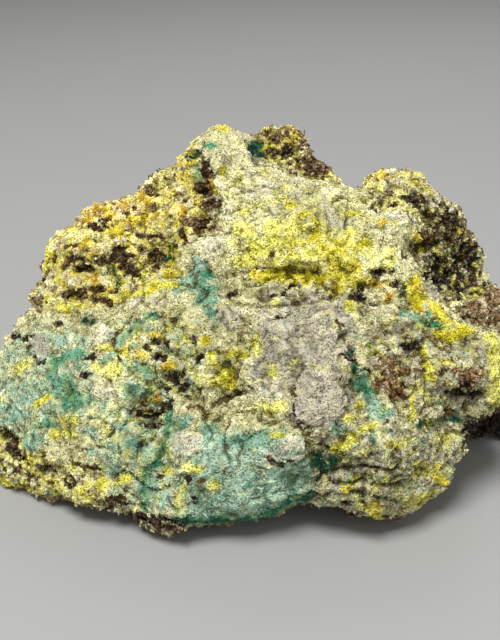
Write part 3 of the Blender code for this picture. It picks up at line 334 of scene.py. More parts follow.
# Lighter crust, partly painted light where the crust faces the light and partly paler crust: (u, v, half
# width, half height, turn, how much lighter)
LIGHTER_CRUST_AND_PAINTED_LIGHT = (
    (0.6, 10.0, 3.4, 2.4, 0, 0.12), (-15.5, 13.5, 5.0, 2.6, 20, 0.38), (-4.6, 9.8, 2.2, 1.8, 0, 0.1),
    (17.5, 16.8, 3.6, 2.4, 0, 0.08), (23.0, -17.0, 3.2, 3.0, 0, 0.18), (1.5, -20.5, 4.0, 3.2, 0, 0.14),
    (-29.0, -10.0, 3.5, 3.5, 0, 0.12), (-18.5, -2.0, 3.0, 2.0, 0, 0.14), (18.8, -5.4, 3.4, 4.2, 0, 0.12),
    (-14.0, -4.5, 4.0, 2.8, 0, 0.06),
)
# Amount of a family where nothing of it is drawn
BARE_AMOUNT = 0.08
# How much a patch counts for the shade, where a zone counts for 1 at most
PATCH_WEIGHT = 6.0
# A small patch is nearly pure, a wide one is mixed: amount at no size, loss for each mm, least amount
PATCH_AMOUNT = {
    YELLOW: (0.92, 0.2, 0.42), GREEN: (0.84, 0.12, 0.5), DARK: (0.9, 0.06, 0.72), PALE: (0.8, 0.08, 0.5),
}
# How far from its middle a patch begins and where it is whole, 1 being its edge
PATCH_FADE = (2.0, 0.2)

# Sides that the drawing doesn't show: amount, how strongly it varies, size of its spots, shade
UNSEEN = {
    YELLOW: (0.3, 0.7, 7.0, 0.5), GREEN: (0.14, 0.7, 8.0, 0.35),
    DARK: (0.5, 0.75, 9.0, 0.5), PALE: (0.38, 0.6, 6.0, 0.5),
}
# How widely the shade varies there, and the least amount of dark rock on the underside
UNSEEN_SHADE_SWING = 0.6
UNDERSIDE_DARK = 0.8

# How far the normal leans towards the eye where the drawing fades out and where it holds in full
DRAWN_FROM = (-0.1, 0.25)
# Weight and shade of the ground under every patch
GROUND_WEIGHT = 0.1
GROUND_SHADE = 0.3

# Irregular edges of the patches: (size of the forms, shift)
PATCH_WARP = ((3.0, 0.35), (1.2, 0.3), (0.6, 0.15))

# Clumps within a patch or zone: (size of the forms, change of the amount), and more in the dark rock
CLUMPS = ((2.4, 0.1), (1.0, 0.18))
DARK_CLUMPS = (0.8, 0.4)
# Amounts at which the ground begins to be dark rock, or smooth, and at which it is wholly so
DARK_GROUND = (0.3, 0.75)
SMOOTH_GREEN = (0.4, 0.8)
SMOOTH_PALE = (0.55, 0.9)
# Lighter and darker stains: (size of the forms, change of the brightness)
STAINS = ((6.0, 0.16), (1.7, 0.16), (0.8, 0.12))

# Flakes that stand proud: corners (u, v)
FLAKES = (
    ((5.4, -9.0), (5.6, -7.8), (7.3, -5.6), (9.0, -5.3), (10.2, -6.5), (11.2, -8.5), (12.0, -9.5),
     (12.0, -11.5), (9.5, -12.5), (7.5, -13.0), (5.7, -12.4)),
    ((2.1, -16.6), (3.0, -15.0), (5.0, -14.5), (6.6, -14.6), (6.7, -17.0), (4.9, -17.5), (3.2, -17.5)),
    ((-9.7, -15.6), (-8.4, -13.8), (-6.0, -14.2), (-5.8, -16.0), (-7.5, -17.0), (-9.2, -16.8)),
    ((-27.4, -1.6), (-25.4, -1.4), (-24.6, -3.4), (-25.4, -5.0), (-26.6, -4.4), (-27.3, -3.2)),
)
# How high the flakes stand, and half the width of their edge, in millimetres
FLAKE_HEIGHT = 0.25
FLAKE_EDGE = 0.2
# How pale a flake is, and how much less it has of the other families
FLAKE_PALE = 0.68
FLAKE_BARE = 0.4
# Ledges, ridges and grooves: points (u, v) along each, half its width, its height
RIDGES = (
    (((-2.8, 6.8), (0.0, 7.3), (4.6, 7.6), (8.5, 7.2)), 1.0, 0.3),
    (((-2.8, 5.5), (-0.6, 6.2), (2.2, 6.1), (4.6, 6.5), (6.0, 6.1), (8.4, 6.0)), 0.45, -0.3),
    (((-4.2, 15.5), (-4.4, 12.4), (-7.4, 9.6), (-7.8, 6.0)), 0.5, -0.35),
    (((1.8, -16.9), (3.4, -17.9), (5.4, -17.8), (7.0, -17.2)), 0.3, -0.35),
    (((-4.6, -10.6), (-2.2, -9.4), (0.0, -8.6)), 0.4, -0.4),
    (((10.8, 1.6), (11.0, -0.6), (12.0, -2.8), (13.6, -5.4)), 0.3, -0.2),
    (((2.0, -0.1), (3.4, 0.3), (5.0, 1.0)), 0.3, -0.2),
    (((2.0, -1.6), (2.0, -4.6), (0.2, -6.0)), 0.3, -0.15),
    (((20.7, 5.1), (21.6, 4.0), (22.5, 3.0)), 0.6, 0.5),
    (((19.6, 6.6), (20.8, 3.0), (24.0, 0.6), (27.4, -1.4), (30.0, -3.0)), 0.9, 0.4),
    (((21.8, -1.6), (23.6, -3.2)), 0.3, -0.4),
    (((10.2, -18.8), (14.0, -18.1), (18.0, -18.5)), 0.3, -0.4),
    (((10.0, -20.3), (14.0, -20.1), (19.0, -20.7)), 0.3, -0.4),
    (((9.5, -21.8), (14.0, -21.4), (18.0, -22.4)), 0.3, -0.35),
    (((-21.0, -16.2), (-18.5, -15.9), (-16.4, -16.6)), 0.3, -0.35),
    (((-19.8, -14.6), (-19.0, -16.0)), 0.2, -0.25),
    (((-14.6, -11.4), (-12.0, -11.8), (-10.4, -10.6), (-8.0, -9.8)), 0.5, -0.35),
    (((-9.0, -9.0), (-6.6, -10.2), (-5.4, -12.4)), 0.35, -0.35),
    (((-23.4, 6.3), (-20.6, 6.6), (-17.6, 5.4), (-15.0, 4.8)), 0.5, -0.35),
    (((-24.4, 3.0), (-20.5, 3.0), (-17.0, 2.0)), 0.4, -0.3),
    (((15.0, 6.2), (17.5, 6.0), (19.0, 4.4)), 0.4, -0.4),
    (((13.0, 3.4), (15.6, 2.4), (17.5, 2.6)), 0.45, -0.5),
    (((18.6, -3.6), (20.4, -3.4), (21.4, -4.2)), 0.6, -0.3),
    (((24.4, -9.6), (27.0, -9.4), (29.0, -9.0)), 0.5, -0.3),
    (((7.4, -13.8), (7.4, -15.6), (8.0, -17.0)), 0.5, -0.4),
)
# Creases of the crust: spacing, depth, share of the spacing that a crease takes up
CREASES = ((5.5, 0.4, 0.1), (3.2, 0.3, 0.1))
# The noise at which creases begin to show, and at which they hold in full
CREASES_FROM = (-0.2, 0.3)
# Broken layers: size of the forms, rise over all of them, height of one layer, slope of its edge
LAYERS = ((6.0, 0.7, 0.4, 0.35), (2.6, 0.5, 0.25, 0.4))
# How ragged their edges are
EDGE_NOISE = 0.2
# A drawn ridge or groove rises from the first to the second of these shares of its half width
RIDGE_SIDE = (1.5, 0.5)
# Where each kind of noise is read, so that no two are alike, and the steps between the families
PLACE = {
    "warp across": 11.0, "warp up": 47.0, "clumps": 83.0, "dark clumps": 71.0, "unseen": 5.0,
    "drift": 29.0, "painted_shade_and_grime": 19.0, "stain_and_painted_light": 91.0, "crumbs": 3.0, "knobs": 23.0, "smooth": 61.0,
    "layers": 53.0, "layer edges": 57.0, "creases": 33.0, "crease places": 37.0,
}
CLUMP_STEP = 7.0
UNSEEN_STEP = 13.0
# The line along which the reading place of smooth noise moves, and that of crumbs
NOISE_WAY = (1.0, 0.37, -0.71)
CRUMB_WAY = (1.0, -1.0, 0.5)
# How steeply a crumb falls off from its top
CRUMB_FALL = 1.6

# Fine relief: size of its crumbs and their height, for each kind of ground
CRUST_CRUMBS = ((1.7, 0.12), (0.9, 0.15), (0.6, 0.16))
ROCK_KNOBS = ((2.4, 0.6), (1.1, 0.46))
SMOOTH_GRAIN = ((3.0, 0.18), (0.9, 0.12))
# How far dark rock lies below the rest, in millimetres
DARK_SINK = 0.3
# How much less relief smooth ground has: crumbs, layers, and the layers on a flake
CALM_CRUMBS = 0.7
CALM_LAYERS = 0.5
CALM_FLAKE = 0.7
# How far the normal leans towards the eye where the drawn ridges fade out and where they hold in full
RIDGES_FROM = (0.1, 0.4)
# Near the floor nothing is pushed outwards, over this height
FOOT = 1.2
# The skin is finer where its normal has at least this share towards the eye, and its new points
# are rounded by this much
SEEN_FROM = 0.15
SEEN_ROUNDING = 0.3
# Points of the solid that are closer than this are one, in metres
WELD = 0.00001
# How far the normal leans down where the underside begins, and where it is wholly so
UNDERSIDE_FROM = (0.2, 0.7)
# Hollows and ridges: rounds of smoothing that they are measured against, and the depth of a deep one
HOLLOW_SCALES = ((8, 0.12), (60, 0.45))

# Grains that cover the rock
CRUST = "crust"
# The crust's amount, which a family has to beat, and how far chance changes every amount
CRUST_AMOUNT = 0.34
CHOICE_SPREAD = 0.14
# How much more a grain has of its own family than the skin below it, and how much less of the others
OWN_GAIN = 0.02
OTHER_LOSS = 0.01
# Share of the grains that smooth ground keeps, and the most grains of one mineral
SMOOTH_SHARE = 0.6
MOST_GRAINS = 33000
# How far the normal leans towards the eye from where grains get closer to where they are closest
GRAINS_FROM = (-0.1, 0.1)
# How much thinner they grow in a deep hollow and in the painted shade and grime, and the lowest that any
# grows, in millimetres
HOLLOW_THINNING = 0.6
PAINTED_SHADE_AND_GRIME_THINNING = 0.3
GRAINS_LOWEST = 0.5
# Spread of their sizes, how much larger they are out of sight, range of each side and of each corner
SIZE_SPREAD = 0.3
UNSEEN_LARGER = 0.3
SIDE_RANGE = (0.75, 1.3)
CORNER_RANGE = (0.8, 1.25)
# How far a grain stands off, as a share of its thickness, and the farthest that it leans, in radians
STAND_OFF = 0.5
MOST_LEAN = 1.2
# Brightness: its range, and how much darker it is with painted shade in a deep hollow and in the painted
# shade and grime
GRAIN_TONES = (0.84, 1.08)
HOLLOW_DARKER = 0.45
PAINTED_SHADE_AND_GRIME_DARKER = 0.5
# Name, mineral, width, length, thickness, how far it leans over in degrees, roughness
GRAINS = (
    ("kasolite_grains", CRUST, 0.22, 0.42, 0.1, 14, 0.75),
    ("uranophane_grains", YELLOW, 0.2, 0.44, 0.1, 18, 0.65),
    ("malachite_grains", GREEN, 0.16, 0.44, 0.09, 14, 0.65),
    ("oxide_grains", DARK, 0.34, 0.46, 0.28, 45, 0.4),
    ("gangue_grains", PALE, 0.22, 0.36, 0.1, 12, 0.75),
)

# Round tufts: (u, v, radius, shade)
TUFTS = (
    (-19.2, 14.2, 0.85, 0.75), (-18.3, 13.9, 0.6, 0.6), (-19.8, 13.4, 0.6, 0.85), (-20.5, 12.8, 0.75, 0.7),
    (-13.3, 15.8, 0.7, 0.55), (-13.0, 14.9, 0.85, 0.7), (-13.4, 13.8, 0.7, 0.65), (-14.8, 12.5, 0.8, 0.55),
    (-12.4, 12.6, 0.7, 0.8), (-11.8, 13.5, 0.55, 0.65), (-20.3, 10.3, 0.9, 0.55), (-20.9, 9.0, 0.8, 0.7),
    (-19.6, 8.8, 0.6, 0.85), (-19.5, 5.4, 0.6, 0.9), (-19.8, 4.4, 0.55, 0.75), (-9.0, 19.6, 0.6, 0.65),
    (-7.7, 19.5, 0.65, 0.55), (-5.0, 16.9, 0.65, 0.7), (-4.7, 15.9, 0.5, 0.55), (-8.3, 14.3, 0.6, 0.75),
    (-8.4, 13.1, 0.6, 0.85), (-3.2, 24.2, 0.5, 0.35), (-12.3, 4.4, 0.6, 0.4), (-12.9, 3.8, 0.5, 0.45),
    (-25.1, 8.2, 0.45, 0.4), (-25.3, 7.3, 0.45, 0.45), (5.7, 23.0, 0.6, 0.5), (5.0, 22.4, 0.5, 0.6),
    (4.6, 24.0, 0.45, 0.5), (16.2, 18.2, 0.45, 0.7), (16.9, 12.4, 0.4, 0.75), (21.1, 10.3, 0.5, 0.75),
    (26.3, 11.0, 0.5, 0.8), (27.6, 9.2, 0.5, 0.85), (-12.0, -1.9, 0.5, 0.75), (-15.5, -4.0, 0.45, 0.75),
    (-13.6, -4.5, 0.4, 0.8), (21.0, 2.9, 0.5, 0.4), (23.4, 0.9, 0.55, 0.4), (15.3, -23.6, 0.7, 0.65),
    (13.4, -10.5, 0.35, 0.25), (12.3, -12.1, 0.4, 0.25), (-28.8, -18.8, 0.5, 0.65), (-27.2, -19.2, 0.5, 0.6),
    (23.7, -19.8, 0.5, 0.5), (-24.5, -18.5, 0.4, 0.85), (-11.7, -9.5, 0.35, 0.9), (2.8, -6.4, 0.35, 0.2),
    (-5.6, -2.7, 0.35, 0.5), (-3.5, 19.0, 0.35, 0.45),
)
# Tufts out of sight: how many, the family that they grow in and its least amount there, radius, shade
UNSEEN_TUFTS = (60, YELLOW, 0.4)
UNSEEN_TUFT_RADII = (0.35, 0.65)
UNSEEN_TUFT_SHADES = (0.35, 0.9)
# Each tuft is a lump with smaller ones beside it: how many lumps, needles in each, their share of
# the radius, and how far off they sit
TUFT_LUMPS = 4
TUFT_NEEDLES = 26
SIDE_LUMP = 0.7
LUMPS_APART = 0.45
# Needles: how far they turn outwards, half their length as a share of the radius, half their width
# as a share of that, how much the shade varies, their tones and roughness
NEEDLES_OUT = 1.1
NEEDLE_LENGTHS = (0.5, 0.95)
NEEDLE_WIDTH = 0.2
NEEDLE_SHADES = 0.1
NEEDLE_TONES = (0.75, 1.15)
NEEDLE_ROUGHNESS = 0.35
# How deep crystals are rooted, in millimetres
ROOT = 0.1
# The rosette: (u, v, radius)
ROSETTE = (-16.9, 11.5, 1.2)
ROSETTE_NEEDLES = 110
# Its needles: how far out they start, their rise, half length and half width as shares, and shades
ROSETTE_EYE = 0.25
ROSETTE_RISE = (0.15, 0.9)
ROSETTE_LENGTHS = (0.6, 0.95)
ROSETTE_WIDTH = 0.1
ROSETTE_SHADES = (0.4, 0.7)
# Clusters of dark green crystals: (u, v, radius)
GREEN_CLUSTERS = (
    (0.9, 21.9, 0.9), (1.0, 20.9, 1.0), (-7.2, 20.5, 0.7), (-10.0, 9.2, 0.6), (-10.4, 8.2, 0.6),
    (-17.2, 6.3, 0.4), (-16.5, 4.7, 0.45), (-20.6, 0.1, 0.4), (-20.1, 0.2, 0.35), (-3.0, -5.4, 0.4),
    (12.7, -4.2, 0.4), (24.6, -12.2, 0.45), (25.8, -12.4, 0.45), (8.2, -17.8, 0.6), (10.1, -17.9, 0.6),
    (9.2, -18.7, 0.6), (22.0, -0.2, 0.4), (23.6, -0.6, 0.4), (15.0, -3.3, 0.3), (25.1, 8.6, 0.35),
)
# The same for clusters out of sight, without a shade
UNSEEN_CLUSTERS = (22, GREEN, 0.3)
UNSEEN_CLUSTER_RADII = (0.3, 0.8)
CLUSTER_CRYSTALS = 34
# Its crystals: how far apart they stand, length as a share of the radius, half width as a share of
# the length, thickness as a share of the width, then their shades, tones and roughness
CLUSTER_SPREAD = 0.5
PRISM_LENGTHS = (0.35, 0.9)
PRISM_WIDTHS = (0.18, 0.4)
PRISM_FLAT = 0.6
PRISM_SHADES = (0.72, 1.0)
PRISM_TONES = (0.8, 1.3)
PRISM_ROUGHNESS = 0.18
# Cloudy quartz: (u, v, half width, half height)
QUARTZ = (
    (-16.8, 10.2, 0.55, 0.4), (-16.0, 10.25, 0.5, 0.35), (20.9, 12.3, 0.5, 0.35), (25.4, 13.4, 0.6, 0.5),
    (27.2, 5.7, 0.45, 0.4), (-11.4, -11.4, 0.35, 0.3), (-26.8, -18.0, 0.35, 0.35),
)
# Quartz out of sight, in the same way
UNSEEN_QUARTZ = (12, DARK, 0.4)
# Their half width and half height, then for every quartz grain how far its corners are off, its
# tones, colours and roughness
UNSEEN_QUARTZ_WIDE = (0.35, 0.7)
UNSEEN_QUARTZ_TALL = (0.3, 0.5)
QUARTZ_CORNERS = (0.85, 1.1)
QUARTZ_TONES = (0.85, 1.0)
QUARTZ_COLOURS = ((0.0, (192, 190, 182)), (1.0, (212, 208, 196)))
QUARTZ_ROUGHNESS = 0.2
# Seeds of the random draws
TUFT_SEED, GREEN_SEED, QUARTZ_SEED = 21, 22, 23


def linear(red, green, blue):
    """A colour as a screen shows it, 0 to 255, as the scene linear colour that Blender takes."""
    shares = [channel / 255.0 for channel in (red, green, blue)]
    return tuple(s / 12.92 if s <= 0.04045 else ((s + 0.055) / 1.055) ** 2.4 for s in shares) + (1.0,)


def to_drawing(points):
    """Points of the frame, in metres, as (u, v, w) on the drawing plane, in millimetres."""
    local = points / MM - np.array(PLANE_MIDDLE)
    w = -local[:, 1] * cos(LEAN) + local[:, 2] * sin(LEAN)
    taper = 1.0 - w / EYE_DISTANCE
    v = (local[:, 1] * sin(LEAN) + local[:, 2] * cos(LEAN)) / taper
    return np.stack([local[:, 0] / taper, v, w], -1)


def smooth_step(value, low, high):
    share = np.clip((value - low) / (high - low), 0.0, 1.0)
    return share * share * (3.0 - 2.0 * share)


def inside(uv, corners):
    """Whether each point lies inside a closed outline."""
    found = np.zeros(len(uv), bool)
    ring = np.array(corners)
    for (u0, v0), (u1, v1) in zip(ring, np.roll(ring, -1, axis=0)):
        if v0 != v1:
            crosses = (v0 > uv[:, 1]) != (v1 > uv[:, 1])
            found ^= crosses & (uv[:, 0] < (u1 - u0) * (uv[:, 1] - v0) / (v1 - v0) + u0)
    return found


def distance_along(uv, route):
    """Distance from a line through the points of a route."""
    stops = np.array(route)
    best = np.full(len(uv), np.inf)
    for start, end in zip(stops, stops[1:]):
        along = end - start
        share = np.clip((uv - start) @ along / (along @ along), 0.0, 1.0)
        best = np.minimum(best, np.linalg.norm(uv - start - share[:, None] * along, axis=1))
    return best


def depth_inside(uv, corners):
    """Distance from the outline's edge, positive inside it."""
    best = distance_along(uv, (*corners, corners[0]))
    return np.where(inside(uv, corners), best, -best)


def distance_from(uv, patch):
    """How far each point lies from a patch's middle, where 1 is the patch's edge."""
    u, v, wide, tall, turn, _ = patch
    across, up = uv[:, 0] - u, uv[:, 1] - v
    turn = radians(turn)
    along = (across * cos(turn) + up * sin(turn)) / wide
    aside = (up * cos(turn) - across * sin(turn)) / tall
    return np.hypot(along, aside)


def noise_at(points, size, offset=0.0):
    """Smooth noise from about -1 to 1 at each point, both in millimetres."""
    shift = Vector([offset * way for way in NOISE_WAY])
    return np.array([noise.noise(Vector(point) / size + shift) for point in points])


def summed_noise(points, layers, offset):
    """Noise of several sizes added up, each with its own strength."""
    return sum(change * noise_at(points / MM, size, offset + size) for size, change in layers)


def crumbs_at(points, size, offset=0.0):
    """Rounded crumbs: 1 on top of each, 0 or less in the gaps between them."""
    shift = Vector([offset * way for way in CRUMB_WAY])
    nearest = [noise.voronoi(Vector(point) / size + shift)[0][0] for point in points]
    return 1.0 - CRUMB_FALL * np.array(nearest)


def drawn_family(family, uv, zone_shares):
    """Amount and shade of one family as its zones, patches and streaks are drawn."""
    amount = np.full(len(uv), BARE_AMOUNT)
    shade_sum = np.full(len(uv), GROUND_SHADE * GROUND_WEIGHT)
    weight_sum = np.full(len(uv), GROUND_WEIGHT)
    for share, (_, levels) in zip(zone_shares, ZONES):
        if family in levels:
            level, shade = levels[family]
            amount = np.maximum(amount, level * share)
            shade_sum += shade * share * level
            weight_sum += share * level
    places = []
    for patch in PATCHES[family]:
        _, _, wide, tall, _, shade = patch
        places.append((distance_from(uv, patch), (wide + tall) / 2.0, shade))
    for route, wide, shade in STREAKS[family]:
        places.append((distance_along(uv, route) / wide, wide, shade))
    purest, loss, least = PATCH_AMOUNT[family]
    for away, size, shade in places:
        share = smooth_step(away, *PATCH_FADE)
        amount = np.maximum(amount, max(purest - loss * size, least) * share)
        shade_sum += PATCH_WEIGHT * shade * share
        weight_sum += PATCH_WEIGHT * share
    return amount, shade_sum / weight_sum


def unseen_family(family, order, points):
    """Amount and shade of one family on the sides that the drawing doesn't show."""
    level, swing, size, shade = UNSEEN[family]
    amount = level + swing * noise_at(points / MM, size, PLACE["unseen"] + UNSEEN_STEP * order)
    drift = noise_at(points / MM, size * 0.5, PLACE["drift"] + order)
    return np.clip(amount, 0.0, 1.0), np.clip(shade + UNSEEN_SHADE_SWING * drift, 0.0, 1.0)


def mineral_fields(points, facing, underside):
    """Amount and shade of each family at each point, the painted shade and grime, flakes, smooth places, and
    stains with painted light.
    """
    drawn = to_drawing(points)[:, :2]
    rim = (-FLAKE_EDGE, 2.0 * FLAKE_EDGE)
    flake = np.max([smooth_step(depth_inside(drawn, corners), *rim) for corners in FLAKES], axis=0)
    uv = drawn.copy()
    for index, (size, shift) in enumerate(PATCH_WARP):
        uv[:, 0] += shift * noise_at(points / MM, size, PLACE["warp across"] + index)
        uv[:, 1] += shift * noise_at(points / MM, size, PLACE["warp up"] + index)
    fields = {}
    zone_shares = [smooth_step(depth_inside(uv, corners), -ZONE_EDGE, ZONE_EDGE) for corners, _ in ZONES]
    seen = smooth_step(facing, *DRAWN_FROM)
    for order, family in enumerate(FAMILIES):
        amount, shade = drawn_family(family, uv, zone_shares)
        for index, (size, change) in enumerate(CLUMPS):
            amount += change * noise_at(points / MM, size, PLACE["clumps"] + CLUMP_STEP * order + index)
        if family == DARK:
            amount += DARK_CLUMPS[1] * noise_at(points / MM, DARK_CLUMPS[0], PLACE["dark clumps"])
        if family == PALE:
            amount = np.maximum(amount, FLAKE_PALE * flake)
        else:
            amount *= 1.0 - FLAKE_BARE * flake
        other, other_shade = unseen_family(family, order, points)
        if family == DARK:
            other = np.maximum(other, UNDERSIDE_DARK * underside)
        fields[family] = np.clip(seen * amount + (1.0 - seen) * other, 0.0, 1.0)
        fields[family + "_shade"] = seen * shade + (1.0 - seen) * other_shade
    # Painted shade under a ledge and on shadowed faces, partly olive-brown grime
    painted_shade_and_grime = np.zeros(len(points))
    for place in PAINTED_SHADE_AND_GRIME:
        painted_shade_and_grime = np.maximum(painted_shade_and_grime, place[-1] * smooth_step(distance_from(uv, place), *PATCH_FADE))
    mottle = summed_noise(points, PAINTED_SHADE_AND_GRIME_CLUMPS, PLACE["painted_shade_and_grime"])
    fields["painted_shade_and_grime"] = np.clip(seen * painted_shade_and_grime * (1.0 + PAINTED_SHADE_AND_GRIME_SWING * mottle), 0.0, 1.0)
    fields["flake"] = seen * flake
    dark = smooth_step(fields[DARK], *DARK_GROUND)
    even = np.maximum(smooth_step(fields[GREEN], *SMOOTH_GREEN), smooth_step(fields[PALE], *SMOOTH_PALE))
    fields["smooth"] = np.maximum(even * (1.0 - dark), fields["flake"])
    stain_and_painted_light = 1.0 + summed_noise(points, STAINS, PLACE["stain_and_painted_light"])
    # Painted light, partly paler crust, in the lighter places
    for place in LIGHTER_CRUST_AND_PAINTED_LIGHT:
        stain_and_painted_light *= 1.0 + seen * place[-1] * smooth_step(distance_from(uv, place), *PATCH_FADE)
    fields["stain_and_painted_light"] = stain_and_painted_light
    return fields


def skin_shift(points, uv, facing, fields):
    """How far the fine relief moves each point of the skin outwards, in millimetres."""
    dark = smooth_step(fields[DARK], *DARK_GROUND)
    smooth = fields["smooth"]
    shift = -DARK_SINK * dark
    for index, (size, height) in enumerate(CRUST_CRUMBS):
        crumbs = crumbs_at(points / MM, size, PLACE["crumbs"] + index)
        shift += height * (1.0 - dark) * (1.0 - CALM_CRUMBS * smooth) * crumbs
    for index, (size, height) in enumerate(ROCK_KNOBS):
        shift += height * dark * crumbs_at(points / MM, size, PLACE["knobs"] + index)
    for index, (size, height) in enumerate(SMOOTH_GRAIN):
        shift += height * noise_at(points / MM, size, PLACE["smooth"] + index)
    for index, (size, rise, layer, slope) in enumerate(LAYERS):
        level = noise_at(points / MM, size, PLACE["layers"] + index)
        level += EDGE_NOISE * noise_at(points / MM, size / 3.0, PLACE["layer edges"] + index)
        level *= rise / layer
        step = np.floor(level) + smooth_step(level - np.floor(level), 0.5 - slope / 2.0, 0.5 + slope / 2.0)
        shift += layer * step * (1.0 - CALM_LAYERS * smooth) * (1.0 - CALM_FLAKE * fields["flake"])
    for index, (size, depth, width) in enumerate(CREASES):
        near = 1.0 - smooth_step(np.abs(noise_at(points / MM, size, PLACE["creases"] + index)), 0.0, width)
        here = noise_at(points / MM, 2.0 * size, PLACE["crease places"] + index)
        shift -= depth * near * smooth_step(here, *CREASES_FROM)
    front = smooth_step(facing, *RIDGES_FROM)
    for route, wide, height in RIDGES:
        outer, inner = (share * wide for share in RIDGE_SIDE)
        shift += height * front * smooth_step(distance_along(uv, route), outer, inner)
    for corners in FLAKES:
        shift += FLAKE_HEIGHT * front * smooth_step(depth_inside(uv, corners), -FLAKE_EDGE, FLAKE_EDGE)
    return shift


def mesh_arrays(mesh):
    """Points and normals of a mesh as arrays."""
    points = np.empty(len(mesh.vertices) * 3)
    mesh.vertices.foreach_get("co", points)
    normals = np.empty(len(mesh.vertices) * 3)
    mesh.vertices.foreach_get("normal", normals)
    return points.reshape(-1, 3), normals.reshape(-1, 3)


def set_field(mesh, name, values):
    layer = mesh.attributes.new(name, "FLOAT", "POINT")
    layer.data.foreach_set("value", np.asarray(values, np.float32))


def hollows(mesh):
    """How far each point lies below its surroundings: 1 in a deep hollow, -1 on a sharp ridge."""
    points, normals = mesh_arrays(mesh)
    edges = np.empty(len(mesh.edges) * 2, np.int32)
    mesh.edges.foreach_get("vertices", edges)
    first, second = edges.reshape(-1, 2).T
    links = np.bincount(first, minlength=len(points)) + np.bincount(second, minlength=len(points))
    even = points.copy()
    depth = np.zeros(len(points))
    done = 0
    for rounds, deep in HOLLOW_SCALES:
        while done < rounds:
            for axis in range(3):
                total = np.bincount(first, even[second, axis], len(points))
                total += np.bincount(second, even[first, axis], len(points))
                even[:, axis] = 0.5 * even[:, axis] + 0.5 * total / links
            done += 1
        depth += np.einsum("ni,ni->n", even - points, normals) / (deep * MM)
    return np.clip(depth / len(HOLLOW_SCALES), -1.0, 1.0)


def eye_direction():
    """Unit vector from the rock to the eye."""
    return np.array([0.0, -cos(LEAN), sin(LEAN)])


def rock_mesh(voxel):
    """The solid's form with an even skin, twice as fine where it faces the eye."""
    form = bpy.data.objects.new("rock_body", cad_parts[NODE].data.copy())
    bpy.context.scene.collection.objects.link(form)
    weld = form.modifiers.new("weld", "WELD")
    weld.merge_threshold = WELD
    round_off = form.modifiers.new("round", "SUBSURF")
    round_off.levels = round_off.render_levels = 1
    remesh = form.modifiers.new("skin", "REMESH")
    remesh.mode = "VOXEL"
    remesh.voxel_size = voxel
    graph = bpy.context.evaluated_depsgraph_get()
    mesh = bpy.data.meshes.new_from_object(form.evaluated_get(graph))
    form.modifiers.clear()
    form.data = mesh
    mesh.name = "rock_body"
    work = bmesh.new()
    work.from_mesh(mesh)
    toward = Vector(eye_direction())
    seen = {face for face in work.faces if face.normal.dot(toward) > SEEN_FROM}
    edges = [edge for edge in work.edges if all(face in seen for face in edge.link_faces)]
    bmesh.ops.subdivide_edges(work, edges=edges, cuts=1, use_grid_fill=True, smooth=SEEN_ROUNDING)
    bmesh.ops.triangulate(work, faces=work.faces)
    work.to_mesh(mesh)
    work.free()
    return form


def build_rock(settings):
    """The whole rock in place of the plain solid."""
    body = rock_mesh(settings.skin)
    mesh = body.data
    points, normals = mesh_arrays(mesh)
    facing = normals @ eye_direction()
    underside = smooth_step(-normals[:, 2], *UNDERSIDE_FROM)
    fields = mineral_fields(points, facing, underside)
    uv = to_drawing(points)[:, :2]
    shift = skin_shift(points, uv, facing, fields)
    resting = smooth_step(points[:, 2], 0.0, FOOT * MM)
    shift = np.where(shift < 0.0, shift, shift * resting)
    moved = points + normals * (shift * MM)[:, None]
    moved[:, 2] = np.maximum(moved[:, 2], 0.0)
    mesh.vertices.foreach_set("co", moved.ravel())
    mesh.update()
    for name, values in fields.items():
        set_field(mesh, name, values)
    set_field(mesh, "facing", facing)
    set_field(mesh, "hollow", hollows(mesh))
    mesh.shade_smooth()
    mesh.materials.clear()
    mesh.materials.append(ore_skin())
    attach(body, BODY)
    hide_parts(NODE)
    return body


# Noise in the looks: size of its forms in millimetres, and how many finer ones it holds
CLOUD = (1.3, 2.0)
MOTTLE = (0.9, 1.0)
LUMPS = (0.8, 3.0)
GRIT = (0.45, 2.0)
FIBRE = (0.22, 1.0)
CROWD = (2.2, 2.0)
SKIN_FINE = (0.25, 4.0)
SKIN_PORES = (0.5, 2.0)
CRYSTAL_FINE = (0.2, 2.0)
# Fine dark specks, painted shade in the gaps between fibres: their brightness, how much they crowd
# together, and the noise at which one is darkest and at which it ends
SPECK = 0.32
SPECK_CROWDING = 0.35
SPECK_EDGE = (0.5, 0.68)
# How much deeper a colour gets where it is darker, and the least depth where it is lighter
SHADE_DEPTH = 0.6
LEAST_DEPTH = 0.95
# Swing and lowest value that fine noise gives the crust's shade, and the brightness of skin and crystals
CRUST_SHADES = (1.6, -0.3)
SKIN_LIGHT = (0.9, 0.51)
CRYSTAL_LIGHT = (0.6, 0.76)
# Pores, painted shade: how much smooth ground fills them, the noise at which one is deepest and at which
# it ends, and how much lighter the skin is around one than the painted shade in it
PORE_FILL = 0.12
PORE_EDGE = (0.3, 0.46)
PORE_LIGHT = (0.5, 0.5)
# Painted shade: change of the brightness in a deep hollow
HOLLOW_LIGHT = -0.35
# Dark olive tint over what is under it, painted shade in a deep hollow and painted shade with grime
# elsewhere: its colour, its share in a deep hollow and in the painted shade and grime
PAINTED_SHADE_AND_GRIME_COLOUR = (128, 112, 66)
HOLLOW_PAINTED_SHADE_TINT = 0.9
PAINTED_SHADE_AND_GRIME_TINT = 0.8
# Bumps: strength, and depth in millimetres
SKIN_BUMP = (0.9, 0.2)
CRYSTAL_BUMP = (0.5, 0.06)
# Roughness and shine
SKIN_ROUGHNESS = 0.65
SKIN_SHINE = 0.35
CRYSTAL_SHINE = 0.25

